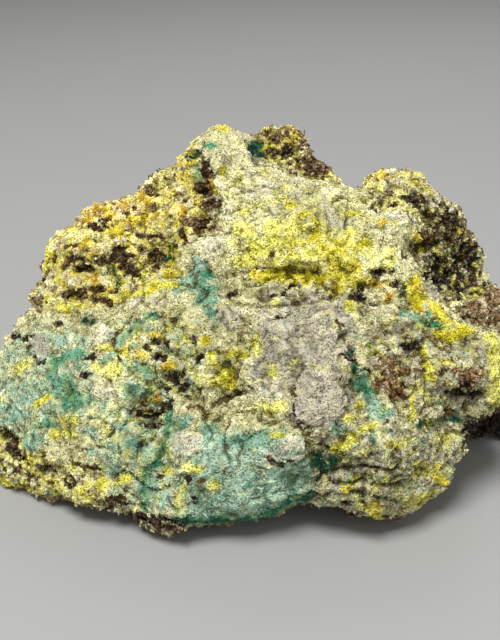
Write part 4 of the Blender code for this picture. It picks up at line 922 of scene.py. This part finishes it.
# Colours of each family, from shade 0 to shade 1
RAMPS = {
    CRUST: ((0.0, (194, 189, 130)), (0.5, (215, 210, 161)), (1.0, (228, 224, 187))),
    YELLOW: ((0.0, (238, 235, 152)), (0.45, (224, 217, 68)), (0.75, (226, 198, 78)), (1.0, (212, 162, 72))),
    GREEN: ((0.0, (190, 211, 188)), (0.3, (138, 180, 153)), (0.5, (84, 153, 116)), (0.8, (26, 84, 58)),
            (1.0, (8, 38, 30))),
    DARK: ((0.0, (184, 150, 116)), (0.3, (138, 112, 76)), (0.6, (84, 66, 44)), (1.0, (32, 26, 22))),
    PALE: ((0.0, (228, 222, 192)), (0.3, (202, 195, 168)), (0.6, (173, 166, 148)), (1.0, (136, 132, 120))),
}


class Graph:
    """Short calls that add and link a material's nodes."""

    def __init__(self, material):
        material.use_nodes = True
        self.tree = material.node_tree
        self.shader = self.tree.nodes["Principled BSDF"]

    def add(self, kind, values=None, **options):
        node = self.tree.nodes.new(kind)
        for name, value in options.items():
            setattr(node, name, value)
        for name, value in (values or {}).items():
            socket = node.inputs[name]
            if isinstance(value, bpy.types.NodeSocket):
                self.tree.links.new(value, socket)
            else:
                socket.default_value = value
        return node

    def into(self, value, socket):
        self.tree.links.new(value, self.shader.inputs[socket])

    def field(self, name):
        return self.add("ShaderNodeAttribute", attribute_name=name).outputs["Fac"]

    def math(self, operation, first, second=0.0, third=0.0):
        return self.add("ShaderNodeMath", {0: first, 1: second, 2: third}, operation=operation).outputs[0]

    def scaled(self, vector, size):
        return self.add("ShaderNodeVectorMath", {0: vector, "Scale": size}, operation="SCALE").outputs[0]

    def noise(self, place, size, detail):
        values = {"Vector": place, "Scale": 1.0 / (size * MM), "Detail": detail}
        return self.add("ShaderNodeTexNoise", values)

    def step(self, value, low, high):
        values = {"Value": value, "From Min": low, "From Max": high}
        return self.add("ShaderNodeMapRange", values, interpolation_type="SMOOTHSTEP").outputs["Result"]

    def mix(self, share, first, second, blend="MIX"):
        return self.add(
            "ShaderNodeMix", {0: share, 6: first, 7: second}, data_type="RGBA", blend_type=blend
        ).outputs[2]

    def bump(self, height, strength, depth):
        values = {"Height": height, "Strength": strength, "Distance": depth * MM}
        self.into(self.add("ShaderNodeBump", values).outputs["Normal"], "Normal")

    def ramp(self, value, stops):
        node = self.add("ShaderNodeValToRGB", {"Fac": value})
        elements = node.color_ramp.elements
        while len(elements) < len(stops):
            elements.new(0.5)
        for element, (place, colour) in zip(elements, stops):
            element.position = place
            element.color = linear(*colour)
        return node.outputs["Color"]

    def channels(self, colour):
        return self.add("ShaderNodeSeparateColor", {"Color": colour}).outputs


# Where each family shows: its amount from none to all of the colour, then how widely the amount
# and the shade vary
SHOWS = {
    PALE: (0.15, 0.7, 0.8, 0.8), GREEN: (0.1, 0.65, 0.7, 0.4),
    YELLOW: (0.15, 0.75, 0.8, 0.6), DARK: (0.28, 0.66, 1.2, 2.2),
}


def mixed_colour(graph, place):
    """The minerals' colours mixed as the fields say, in cloudy and finely mottled patches."""
    cloud = graph.channels(graph.noise(place, *CLOUD).outputs["Color"])
    mottle = graph.channels(graph.noise(place, *MOTTLE).outputs["Color"])
    lumps = graph.noise(place, *LUMPS).outputs["Fac"]
    grit = graph.noise(place, *GRIT).outputs["Fac"]
    draws = {PALE: cloud[0], GREEN: cloud[1], YELLOW: cloud[2], DARK: lumps}
    colour = graph.ramp(graph.math("MULTIPLY_ADD", mottle[1], *CRUST_SHADES), RAMPS[CRUST])
    for family, (low, high, swing, spread) in SHOWS.items():
        amount = graph.math("MULTIPLY_ADD", draws[family], swing, graph.field(family))
        share = graph.step(amount, low + swing / 2.0, high + swing / 2.0)
        shade = graph.math("SUBTRACT", graph.field(family + "_shade"), spread / 2.0)
        shade = graph.math("MULTIPLY_ADD", grit if family == DARK else mottle[2], spread, shade)
        colour = graph.mix(share, colour, graph.ramp(shade, RAMPS[family]))
    return colour


def specks(graph, place):
    """Brightness with fine dark specks: painted shade in the gaps between the finest fibres."""
    fibre = graph.noise(place, *FIBRE).outputs["Fac"]
    crowd = graph.noise(place, *CROWD).outputs["Fac"]
    gap = graph.step(graph.math("MULTIPLY_ADD", crowd, SPECK_CROWDING, fibre), *SPECK_EDGE)
    return graph.math("MULTIPLY_ADD", gap, 1.0 - SPECK, SPECK)


def lit(graph, colour, light):
    """A colour made lighter, or darker and deeper."""
    depth = graph.math("MULTIPLY_ADD", light, -SHADE_DEPTH, 1.0 + SHADE_DEPTH)
    depth = graph.math("MAXIMUM", depth, LEAST_DEPTH)
    deeper = graph.add("ShaderNodeHueSaturation", {"Color": colour, "Saturation": depth}).outputs[0]
    return graph.scaled(deeper, light)


def ore_skin():
    """The crust and the rock under it, mixed as the fields say, with a fine crumbly surface, painted shade
    in its pores, hollows and fine gaps, and painted light in the lighter places.
    """
    material = bpy.data.materials.new("ore skin")
    graph = Graph(material)
    place = graph.add("ShaderNodeTexCoord").outputs["Object"]
    colour = mixed_colour(graph, place)

    smooth = graph.field("smooth")
    hollow = graph.field("hollow")
    fine = graph.noise(place, *SKIN_FINE).outputs["Fac"]
    light = graph.math("MULTIPLY_ADD", fine, *SKIN_LIGHT)
    # Random stains, and painted light in the lighter places
    light = graph.math("MULTIPLY", light, graph.field("stain_and_painted_light"))
    # Painted shade in the pores
    pore = graph.math("MULTIPLY_ADD", smooth, PORE_FILL, graph.noise(place, *SKIN_PORES).outputs["Fac"])
    pore = graph.step(pore, *PORE_EDGE)
    light = graph.math("MULTIPLY", light, graph.math("MULTIPLY_ADD", pore, *PORE_LIGHT))
    # Painted shade in deep hollows
    light = graph.math("MULTIPLY", light, graph.math("MULTIPLY_ADD", hollow, HOLLOW_LIGHT, 1.0))
    # Painted shade in the fine gaps between fibres
    light = graph.math("MULTIPLY", light, specks(graph, place))
    colour = lit(graph, colour, light)
    # Dark olive tint: painted shade in deep hollows, and painted shade with grime where that field says
    painted_shade_and_grime = graph.math("MULTIPLY", graph.field("painted_shade_and_grime"), PAINTED_SHADE_AND_GRIME_TINT)
    painted_shade_and_grime = graph.math("MULTIPLY_ADD", hollow, HOLLOW_PAINTED_SHADE_TINT, painted_shade_and_grime)
    painted_shade_and_grime = graph.math("MINIMUM", graph.math("MAXIMUM", painted_shade_and_grime, 0.0), 1.0)
    colour = graph.mix(painted_shade_and_grime, colour, graph.mix(1.0, colour, linear(*PAINTED_SHADE_AND_GRIME_COLOUR), blend="MULTIPLY"))
    graph.into(colour, "Base Color")
    graph.bump(fine, *SKIN_BUMP)
    graph.shader.inputs["Roughness"].default_value = SKIN_ROUGHNESS
    graph.shader.inputs["Specular IOR Level"].default_value = SKIN_SHINE
    return material


# One grain: its points about its middle, and its faces
GRAIN = (
    ((1, 0, 0), (-0.5, 0.87, 0), (-0.5, -0.87, 0), (0, 0, 1), (0, 0, -1)),
    ((0, 1, 3), (1, 2, 3), (2, 0, 3), (1, 0, 4), (2, 1, 4), (0, 2, 4)),
)
# One quartz grain
BLOCK = (
    ((1, 0, 0), (-1, 0, 0), (0, 1, 0), (0, -1, 0), (0, 0, 1), (0, 0, -1)),
    ((0, 2, 4), (2, 1, 4), (1, 3, 4), (3, 0, 4), (2, 0, 5), (1, 2, 5), (3, 1, 5), (0, 3, 5)),
)
# One prism with a pointed end, standing on its root
PRISM = (
    ((-1, 0, 0), (0, -1, 0), (1, 0, 0), (0, 1, 0), (-0.8, 0, 0.8), (0, -0.8, 0.8), (0.8, 0, 0.8),
     (0, 0.8, 0.8),
     (0, 0, 1), (0, 0, -0.1)),
    ((0, 1, 5), (0, 5, 4), (1, 2, 6), (1, 6, 5), (2, 3, 7), (2, 7, 6), (3, 0, 4), (3, 4, 7),
     (4, 5, 8), (5, 6, 8), (6, 7, 8), (7, 4, 8), (1, 0, 9), (2, 1, 9), (3, 2, 9), (0, 3, 9)),
)


def standing_turns(draw, directions):
    """Rotation matrices that stand the z axis along each direction, with a random spin."""
    up = directions / np.linalg.norm(directions, axis=1)[:, None]
    across = np.cross(up, draw.normal(size=up.shape))
    across /= np.linalg.norm(across, axis=1)[:, None]
    return np.stack([across, np.cross(up, across), up], -1)


def flat_turns(along, normals):
    """Rotation matrices that lay the z axis along each direction, with the x axis out of the ground."""
    length = along / np.linalg.norm(along, axis=1)[:, None]
    aside = np.cross(length, normals)
    aside /= np.linalg.norm(aside, axis=1)[:, None]
    return np.stack([np.cross(aside, length), aside, length], -1)


# How far from its drawn place a crystal may sit, in millimetres, and how much farther than the
# nearest skin where that is farther off
SEAT_REACH = 0.5
SEAT_SLACK = 1.2


class Ground:
    """The rock's skin, for things that grow on it."""

    def __init__(self, body):
        mesh = body.data
        mesh.calc_loop_triangles()
        corners = np.empty(len(mesh.loop_triangles) * 3, np.int32)
        mesh.loop_triangles.foreach_get("vertices", corners)
        self.corners = corners.reshape(-1, 3)
        self.points, self.normals = mesh_arrays(mesh)
        self.drawn = to_drawing(self.points)
        self.mesh = mesh
        self.facing = self.field("facing")

    def field(self, name):
        values = np.empty(len(self.mesh.vertices), np.float32)
        self.mesh.attributes[name].data.foreach_get("value", values)
        return values.astype(float)

    def area(self):
        a, b, c = (self.points[self.corners[:, i]] for i in range(3))
        return np.linalg.norm(np.cross(b - a, c - a), axis=1) / 2.0

    def scatter(self, draw, per_area):
        """Random places, evenly spread: points, and the corner of the face that each is on."""
        area = self.area()
        count = int(area.sum() * per_area)
        chosen = np.searchsorted(np.cumsum(area) / area.sum(), draw.random(count))
        first, second = draw.random((2, count))
        over = first + second > 1.0
        first[over], second[over] = 1.0 - first[over], 1.0 - second[over]
        a, b, c = (self.points[self.corners[chosen, i]] for i in range(3))
        return a + first[:, None] * (b - a) + second[:, None] * (c - a), self.corners[chosen, 0]

    def seat(self, u, v):
        """The skin's nearest point to the eye at a place of the drawing."""
        away = np.hypot(self.drawn[:, 0] - u, self.drawn[:, 1] - v)
        near = np.flatnonzero(away < max(SEAT_REACH, away.min() * SEAT_SLACK))
        return near[np.argmax(self.drawn[near, 2])]

    def unseen(self, draw, count, family, least):
        """Random points of the sides that the drawing doesn't show, rich in one family."""
        rich = (self.facing < 0.0) & (self.field(family) > least) & (self.points[:, 2] > 2.0 * FOOT * MM)
        return draw.choice(np.flatnonzero(rich), count, replace=False)


def joined(name, shape, places, turns, sizes, shades, tones, material, jitter=None):
    """One mesh of many crystals, each with its own place, turn, size, shade and tone."""
    pattern, faces = np.array(shape[0], float), np.array(shape[1])
    forms = np.repeat(pattern[None], len(places), axis=0)
    if jitter is not None:
        forms = forms * jitter
    points = np.einsum("nij,nkj->nki", turns, forms * sizes[:, None, :]) + places[:, None, :]
    points[:, :, 2] = np.maximum(points[:, :, 2], 0.0)
    corners = faces[None] + (np.arange(len(places)) * len(pattern))[:, None, None]
    mesh = bpy.data.meshes.new(name)
    mesh.vertices.add(points.shape[0] * points.shape[1])
    mesh.vertices.foreach_set("co", points.ravel())
    mesh.loops.add(corners.size)
    mesh.loops.foreach_set("vertex_index", corners.ravel().astype(np.int32))
    mesh.polygons.add(corners.size // 3)
    mesh.polygons.foreach_set("loop_start", np.arange(0, corners.size, 3, dtype=np.int32))
    mesh.update(calc_edges=True)
    mesh.shade_flat()
    set_field(mesh, "shade", np.repeat(shades, len(pattern)))
    set_field(mesh, "tone", np.repeat(tones, len(pattern)))
    mesh.materials.append(material)
    piece = bpy.data.objects.new(name, mesh)
    bpy.context.scene.collection.objects.link(piece)
    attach(piece, BODY)
    return piece


def crystal_finish(name, stops, roughness):
    """A mineral's crystals, coloured by their shade, or without stops by the place they grow at."""
    material = bpy.data.materials.new(name)
    graph = Graph(material)
    place = graph.add("ShaderNodeTexCoord").outputs["Object"]
    fine = graph.noise(place, *CRYSTAL_FINE).outputs["Fac"]
    light = graph.math("MULTIPLY", graph.field("tone"), graph.math("MULTIPLY_ADD", fine, *CRYSTAL_LIGHT))
    if stops:
        colour = graph.scaled(graph.ramp(graph.field("shade"), stops), light)
    else:
        # Fine specks of painted shade, as on the skin
        light = graph.math("MULTIPLY", light, specks(graph, place))
        colour = lit(graph, mixed_colour(graph, place), light)
    graph.into(colour, "Base Color")
    graph.bump(fine, *CRYSTAL_BUMP)
    graph.shader.inputs["Roughness"].default_value = roughness
    graph.shader.inputs["Specular IOR Level"].default_value = CRYSTAL_SHINE
    return material


def build_grains(ground, settings):
    """Grains of every mineral, chosen place by place as the fields say."""
    draw = np.random.default_rng(settings.seed)
    spot, corner = ground.scatter(draw, settings.grains_seen)
    front = smooth_step(ground.facing, *GRAINS_FROM)[corner]
    share = front + (1.0 - front) * settings.grains_unseen / settings.grains_seen
    share *= 1.0 - (1.0 - SMOOTH_SHARE) * ground.field("smooth")[corner]
    hollow, painted_shade_and_grime = ground.field("hollow")[corner], ground.field("painted_shade_and_grime")[corner]
    share *= 1.0 - HOLLOW_THINNING * np.maximum(hollow, 0.0) - PAINTED_SHADE_AND_GRIME_THINNING * painted_shade_and_grime
    kept = (draw.random(len(spot)) < share) & (spot[:, 2] > GRAINS_LOWEST * MM)
    spot, corner, front = spot[kept], corner[kept], front[kept]
    families = (CRUST, *FAMILIES)
    amounts = [np.full(len(spot), CRUST_AMOUNT)] + [ground.field(family)[corner] for family in FAMILIES]
    scores = np.stack(amounts) + draw.uniform(-CHOICE_SPREAD, CHOICE_SPREAD, (len(families), len(spot)))
    winner = np.argmax(scores, axis=0)
    for name, family, width, length, thickness, lean, roughness in GRAINS:
        mine = np.flatnonzero(winner == families.index(family))
        if len(mine) > MOST_GRAINS:
            mine = np.sort(draw.choice(mine, MOST_GRAINS, replace=False))
        count = len(mine)
        here = corner[mine]
        larger = 1.0 + UNSEEN_LARGER - UNSEEN_LARGER * front[mine]
        grain = draw.lognormal(0.0, SIZE_SPREAD, count) * larger * MM
        half_sides = (thickness / 2.0, width / 2.0, length / 2.0)
        sizes = grain[:, None] * draw.uniform(*SIDE_RANGE, (count, 3)) * half_sides
        normals = ground.normals[here]
        places = spot[mine] + normals * (grain * thickness * draw.uniform(0.0, STAND_OFF, count))[:, None]
        along = np.cross(normals, draw.normal(size=(count, 3)))
        along /= np.linalg.norm(along, axis=1)[:, None]
        leans = np.radians(draw.normal(0.0, lean, count)).clip(-MOST_LEAN, MOST_LEAN)
        along += normals * np.tan(leans)[:, None]
        # Random tones, painted light where the crust is lighter, and painted shade in deep hollows and with
        # grime
        hollow, painted_shade_and_grime = ground.field("hollow")[here], ground.field("painted_shade_and_grime")[here]
        tones = draw.uniform(*GRAIN_TONES, count) * ground.field("stain_and_painted_light")[here]
        tones *= 1.0 - HOLLOW_DARKER * hollow - PAINTED_SHADE_AND_GRIME_DARKER * painted_shade_and_grime
        jitter = draw.uniform(*CORNER_RANGE, (count, len(GRAIN[0]), 1))
        finish = crystal_finish(name.replace("_", " "), None, roughness)
        turns = flat_turns(along, normals)
        piece = joined(name, GRAIN, places, turns, sizes, draw.random(count), tones, finish, jitter)
        for other in FAMILIES:
            amount = ground.field(other)[here] + (OWN_GAIN if other == family else -OTHER_LOSS)
            set_field(piece.data, other, np.repeat(np.clip(amount, 0.0, 1.0), len(GRAIN[0])))
            shade = ground.field(other + "_shade")[here]
            set_field(piece.data, other + "_shade", np.repeat(shade, len(GRAIN[0])))


def build_tufts(ground):
    """Round uranophane tufts, each a heap of short needles, and the open rosette."""
    draw = np.random.default_rng(TUFT_SEED)
    seats = [(ground.seat(u, v), radius, shade) for u, v, radius, shade in TUFTS]
    for point in ground.unseen(draw, *UNSEEN_TUFTS):
        seats.append((point, draw.uniform(*UNSEEN_TUFT_RADII), draw.uniform(*UNSEEN_TUFT_SHADES)))
    places, directions, sizes, shades = [], [], [], []
    for point, radius, shade in seats:
        normal = ground.normals[point]
        for lump in range(TUFT_LUMPS):
            middle = ground.points[point] + draw.normal(0.0, LUMPS_APART, 3) * radius * MM * (lump > 0)
            spread = draw.normal(size=(TUFT_NEEDLES, 3)) + NEEDLES_OUT * normal
            spread /= np.linalg.norm(spread, axis=1)[:, None]
            lengths = draw.uniform(*NEEDLE_LENGTHS, TUFT_NEEDLES)
            reach = radius * MM * lengths * (SIDE_LUMP if lump else 1.0)
            places.append(np.repeat(middle[None], TUFT_NEEDLES, axis=0) - normal * ROOT * MM)
            directions.append(spread)
            sizes.append(np.stack([reach * NEEDLE_WIDTH, reach * NEEDLE_WIDTH, reach], -1))
            shades.append(np.clip(shade + draw.normal(0.0, NEEDLE_SHADES, TUFT_NEEDLES), 0.0, 1.0))
    u, v, radius = ROSETTE
    point = ground.seat(u, v)
    normal = ground.normals[point]
    side = np.cross(normal, (0.0, 0.0, 1.0))
    side /= np.linalg.norm(side)
    angles = draw.uniform(0.0, 2.0 * pi, ROSETTE_NEEDLES)
    around = np.cos(angles)[:, None] * side + np.sin(angles)[:, None] * np.cross(normal, side)
    lift = draw.uniform(*ROSETTE_RISE, ROSETTE_NEEDLES)[:, None]
    places.append(ground.points[point] + around * ROSETTE_EYE * radius * MM)
    directions.append(around + lift * normal)
    reach = radius * MM * draw.uniform(*ROSETTE_LENGTHS, ROSETTE_NEEDLES)
    sizes.append(np.stack([reach * ROSETTE_WIDTH, reach * ROSETTE_WIDTH, reach], -1))
    shades.append(draw.uniform(*ROSETTE_SHADES, ROSETTE_NEEDLES))
    parts = (places, directions, sizes, shades)
    places, directions, sizes, shades = (np.concatenate(part) for part in parts)
    tones = draw.uniform(*NEEDLE_TONES, len(places))
    finish = crystal_finish("uranophane needles", RAMPS[YELLOW], NEEDLE_ROUGHNESS)
    turns = standing_turns(draw, directions)
    joined("uranophane_tufts", GRAIN, places, turns, sizes, shades, tones, finish)


def build_green_crystals(ground):
    """Clusters of dark green prisms."""
    draw = np.random.default_rng(GREEN_SEED)
    seats = [(ground.seat(u, v), radius) for u, v, radius in GREEN_CLUSTERS]
    for point in ground.unseen(draw, *UNSEEN_CLUSTERS):
        seats.append((point, draw.uniform(*UNSEEN_CLUSTER_RADII)))
    places, directions, sizes = [], [], []
    for point, radius in seats:
        normal = ground.normals[point]
        spots = draw.normal(0.0, CLUSTER_SPREAD, (CLUSTER_CRYSTALS, 3)) * radius * MM
        spots -= (spots @ normal)[:, None] * normal
        places.append(ground.points[point] + spots - normal * ROOT * MM)
        directions.append(draw.normal(size=(CLUSTER_CRYSTALS, 3)) + normal)
        length = radius * MM * draw.uniform(*PRISM_LENGTHS, CLUSTER_CRYSTALS)
        width = length * draw.uniform(*PRISM_WIDTHS, CLUSTER_CRYSTALS)
        sizes.append(np.stack([width, width * PRISM_FLAT, length], -1))
    places, directions, sizes = (np.concatenate(part) for part in (places, directions, sizes))
    shades = draw.uniform(*PRISM_SHADES, len(places))
    tones = draw.uniform(*PRISM_TONES, len(places))
    finish = crystal_finish("green crystals", RAMPS[GREEN], PRISM_ROUGHNESS)
    turns = standing_turns(draw, directions)
    joined("green_crystals", PRISM, places, turns, sizes, shades, tones, finish)


def build_quartz(ground):
    """Cloudy quartz grains between the lumps."""
    draw = np.random.default_rng(QUARTZ_SEED)
    seats = [(ground.seat(u, v), wide, tall) for u, v, wide, tall in QUARTZ]
    for point in ground.unseen(draw, *UNSEEN_QUARTZ):
        seats.append((point, draw.uniform(*UNSEEN_QUARTZ_WIDE), draw.uniform(*UNSEEN_QUARTZ_TALL)))
    places = np.array([ground.points[point] for point, _, _ in seats])
    directions = np.array([ground.normals[point] for point, _, _ in seats])
    sizes = np.array([(wide, tall, (wide + tall) / 2.0) for _, wide, tall in seats]) * MM
    jitter = draw.uniform(*QUARTZ_CORNERS, (len(seats), len(BLOCK[0]), 1))
    finish = crystal_finish("cloudy quartz", QUARTZ_COLOURS, QUARTZ_ROUGHNESS)
    turns = standing_turns(draw, directions)
    shades = draw.random(len(seats))
    tones = draw.uniform(*QUARTZ_TONES, len(seats))
    joined("quartz_grains", BLOCK, places, turns, sizes, shades, tones, finish, jitter)


# The floor's finish
FLOOR_ROUGHNESS = 0.7
FLOOR_SHINE = 0.2
# Lights: name, turn from the front and height above the floor in degrees, distance and size in metres
LIGHTS = (
    ("top light", -22, 66, 0.5, 0.2),
    ("front light", 25, 30, 0.5, 0.4),
    ("back light", 160, 45, 0.5, 0.3),
)
# The camera: width of its sensor in millimetres, and the nearest that it sees, in metres
SENSOR = 36.0
NEAREST = 0.005


def floor_finish(colour):
    material = bpy.data.materials.new("studio floor")
    material.use_nodes = True
    shader = material.node_tree.nodes["Principled BSDF"]
    shader.inputs["Base Color"].default_value = (*colour, 1.0)
    shader.inputs["Roughness"].default_value = FLOOR_ROUGHNESS
    shader.inputs["Specular IOR Level"].default_value = FLOOR_SHINE
    return material


def soft_light(name, turn, height, distance, size, power):
    """A round light that faces the rock: turn from the front, height above the floor, both in degrees."""
    lamp = bpy.data.lights.new(name, "AREA")
    lamp.shape = "DISK"
    lamp.size = size
    lamp.energy = power
    light = bpy.data.objects.new(name, lamp)
    turn, height = radians(turn), radians(height)
    away = Vector((sin(turn) * cos(height), -cos(turn) * cos(height), sin(height)))
    light.location = Vector(PLANE_MIDDLE) * MM + distance * away
    light.rotation_euler = away.to_track_quat("Z", "Y").to_euler()
    bpy.context.scene.collection.objects.link(light)


def build_stage(settings):
    """Floor, soft lights and the camera."""
    scene = bpy.context.scene
    half = settings.floor_width / 2.0
    mesh = bpy.data.meshes.new("floor")
    corners = [(-half, -half, 0), (half, -half, 0), (half, half, 0), (-half, half, 0)]
    mesh.from_pydata(corners, [], [(0, 1, 2, 3)])
    mesh.materials.append(floor_finish(settings.floor_colour))
    floor = bpy.data.objects.new("floor", mesh)
    scene.collection.objects.link(floor)

    powers = (settings.top_power, settings.front_power, settings.back_power)
    for light, power in zip(LIGHTS, powers):
        soft_light(*light, power)

    world = bpy.data.worlds.new("studio")
    world.use_nodes = True
    background = world.node_tree.nodes["Background"]
    background.inputs["Color"].default_value = (1.0, 1.0, 1.0, 1.0)
    background.inputs["Strength"].default_value = settings.sky_power
    scene.world = world
    scene.view_settings.view_transform = "Standard"

    camera = bpy.data.cameras.new("camera")
    camera.sensor_width = SENSOR
    camera.lens = camera.sensor_width * EYE_DISTANCE / PLANE_TALL
    camera.clip_start = NEAREST
    eye = bpy.data.objects.new("camera", camera)
    eye.location = (Vector(PLANE_MIDDLE) + Vector(eye_direction()) * EYE_DISTANCE) * MM
    eye.rotation_euler = (pi / 2 - LEAN, 0.0, 0.0)
    scene.collection.objects.link(eye)
    scene.camera = eye


class OreSettings(bpy.types.PropertyGroup):
    """What the rock and its grains are made with."""

    skin: FloatProperty(
        name="Skin detail", description="Distance between the points of the rock's skin",
        default=0.00058, min=0.0003, subtype="DISTANCE", unit="LENGTH",
    )
    grains_seen: FloatProperty(
        name="Grains in front", description="Grains on each square metre of the side that the camera sees",
        default=20.5e6, min=0.0,
    )
    grains_unseen: FloatProperty(
        name="Grains elsewhere", description="Grains on each square metre of the other sides",
        default=5.5e6, min=0.0,
    )
    seed: IntProperty(name="Seed", description="Picks another scatter of the grains", default=11)


class StageSettings(bpy.types.PropertyGroup):
    """The studio around the specimen."""

    floor_width: FloatProperty(
        name="Floor", description="Width of the floor", default=3.0, subtype="DISTANCE", unit="LENGTH",
    )
    floor_colour: FloatVectorProperty(
        name="Floor colour", description="Colour of the floor",
        default=(0.39, 0.39, 0.38), size=3, min=0.0, max=1.0, subtype="COLOR",
    )
    top_power: FloatProperty(
        name="Top light", description="Power of the top light", default=2.7, unit="POWER",
    )
    front_power: FloatProperty(
        name="Front light", description="Power of the front light", default=0.3, unit="POWER",
    )
    back_power: FloatProperty(
        name="Back light", description="Power of the back light", default=0.5, unit="POWER",
    )
    sky_power: FloatProperty(name="Sky", description="Strength of the light from all round", default=0.27)


class OreStep:
    """What every step that grows on the rock shares."""

    def ground(self):
        body = bpy.data.objects.get("rock_body")
        if body is None:
            raise RuntimeError("Build the rock body first")
        return Ground(body)


class ORE_OT_rock(bpy.types.Operator):
    """Build the rock body"""

    bl_idname = "ore.rock"
    bl_label = "Rock body"

    def execute(self, context):
        build_rock(context.scene.ore_settings)
        return {"FINISHED"}


class ORE_OT_grains(OreStep, bpy.types.Operator):
    """Cover the rock body with grains of every mineral"""

    bl_idname = "ore.grains"
    bl_label = "Grains"

    def execute(self, context):
        build_grains(self.ground(), context.scene.ore_settings)
        return {"FINISHED"}


class ORE_OT_tufts(OreStep, bpy.types.Operator):
    """Grow the round yellow tufts and the rosette"""

    bl_idname = "ore.tufts"
    bl_label = "Uranophane tufts"

    def execute(self, context):
        build_tufts(self.ground())
        return {"FINISHED"}


class ORE_OT_green(OreStep, bpy.types.Operator):
    """Grow the clusters of dark green crystals"""

    bl_idname = "ore.green"
    bl_label = "Green crystals"

    def execute(self, context):
        build_green_crystals(self.ground())
        return {"FINISHED"}


class ORE_OT_quartz(OreStep, bpy.types.Operator):
    """Set the cloudy quartz grains in the rock"""

    bl_idname = "ore.quartz"
    bl_label = "Quartz"

    def execute(self, context):
        build_quartz(self.ground())
        return {"FINISHED"}


class ORE_OT_stage(bpy.types.Operator):
    """Set up the floor, the lights and the camera"""

    bl_idname = "ore.stage"
    bl_label = "Studio"

    def execute(self, context):
        build_stage(context.scene.ore_stage)
        return {"FINISHED"}


class ORE_PT_panel(bpy.types.Panel):
    """The steps and what they are made with"""

    bl_idname = "ORE_PT_panel"
    bl_label = "Ore specimen"
    bl_space_type = "VIEW_3D"
    bl_region_type = "UI"
    bl_category = "Ore"

    def draw(self, context):
        layout = self.layout
        for name in ("skin", "grains_seen", "grains_unseen", "seed"):
            layout.prop(context.scene.ore_settings, name)
        for step in ("ore.rock", "ore.grains", "ore.tufts", "ore.green", "ore.quartz"):
            layout.operator(step)
        for name in ("floor_width", "floor_colour", "top_power", "front_power", "back_power", "sky_power"):
            layout.prop(context.scene.ore_stage, name)
        layout.operator("ore.stage")


CLASSES = (
    OreSettings, StageSettings, ORE_OT_rock, ORE_OT_grains, ORE_OT_tufts, ORE_OT_green, ORE_OT_quartz,
    ORE_OT_stage, ORE_PT_panel,
)


def register():
    for made in CLASSES:
        bpy.utils.register_class(made)
    bpy.types.Scene.ore_settings = PointerProperty(type=OreSettings)
    bpy.types.Scene.ore_stage = PointerProperty(type=StageSettings)


def unregister():
    del bpy.types.Scene.ore_stage
    del bpy.types.Scene.ore_settings
    for made in reversed(CLASSES):
        bpy.utils.unregister_class(made)


def main():
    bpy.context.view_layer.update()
    register()
    bpy.ops.ore.rock()
    bpy.ops.ore.grains()
    bpy.ops.ore.tufts()
    bpy.ops.ore.green()
    bpy.ops.ore.quartz()
    bpy.ops.ore.stage()


if __name__ == "__main__":
    main()
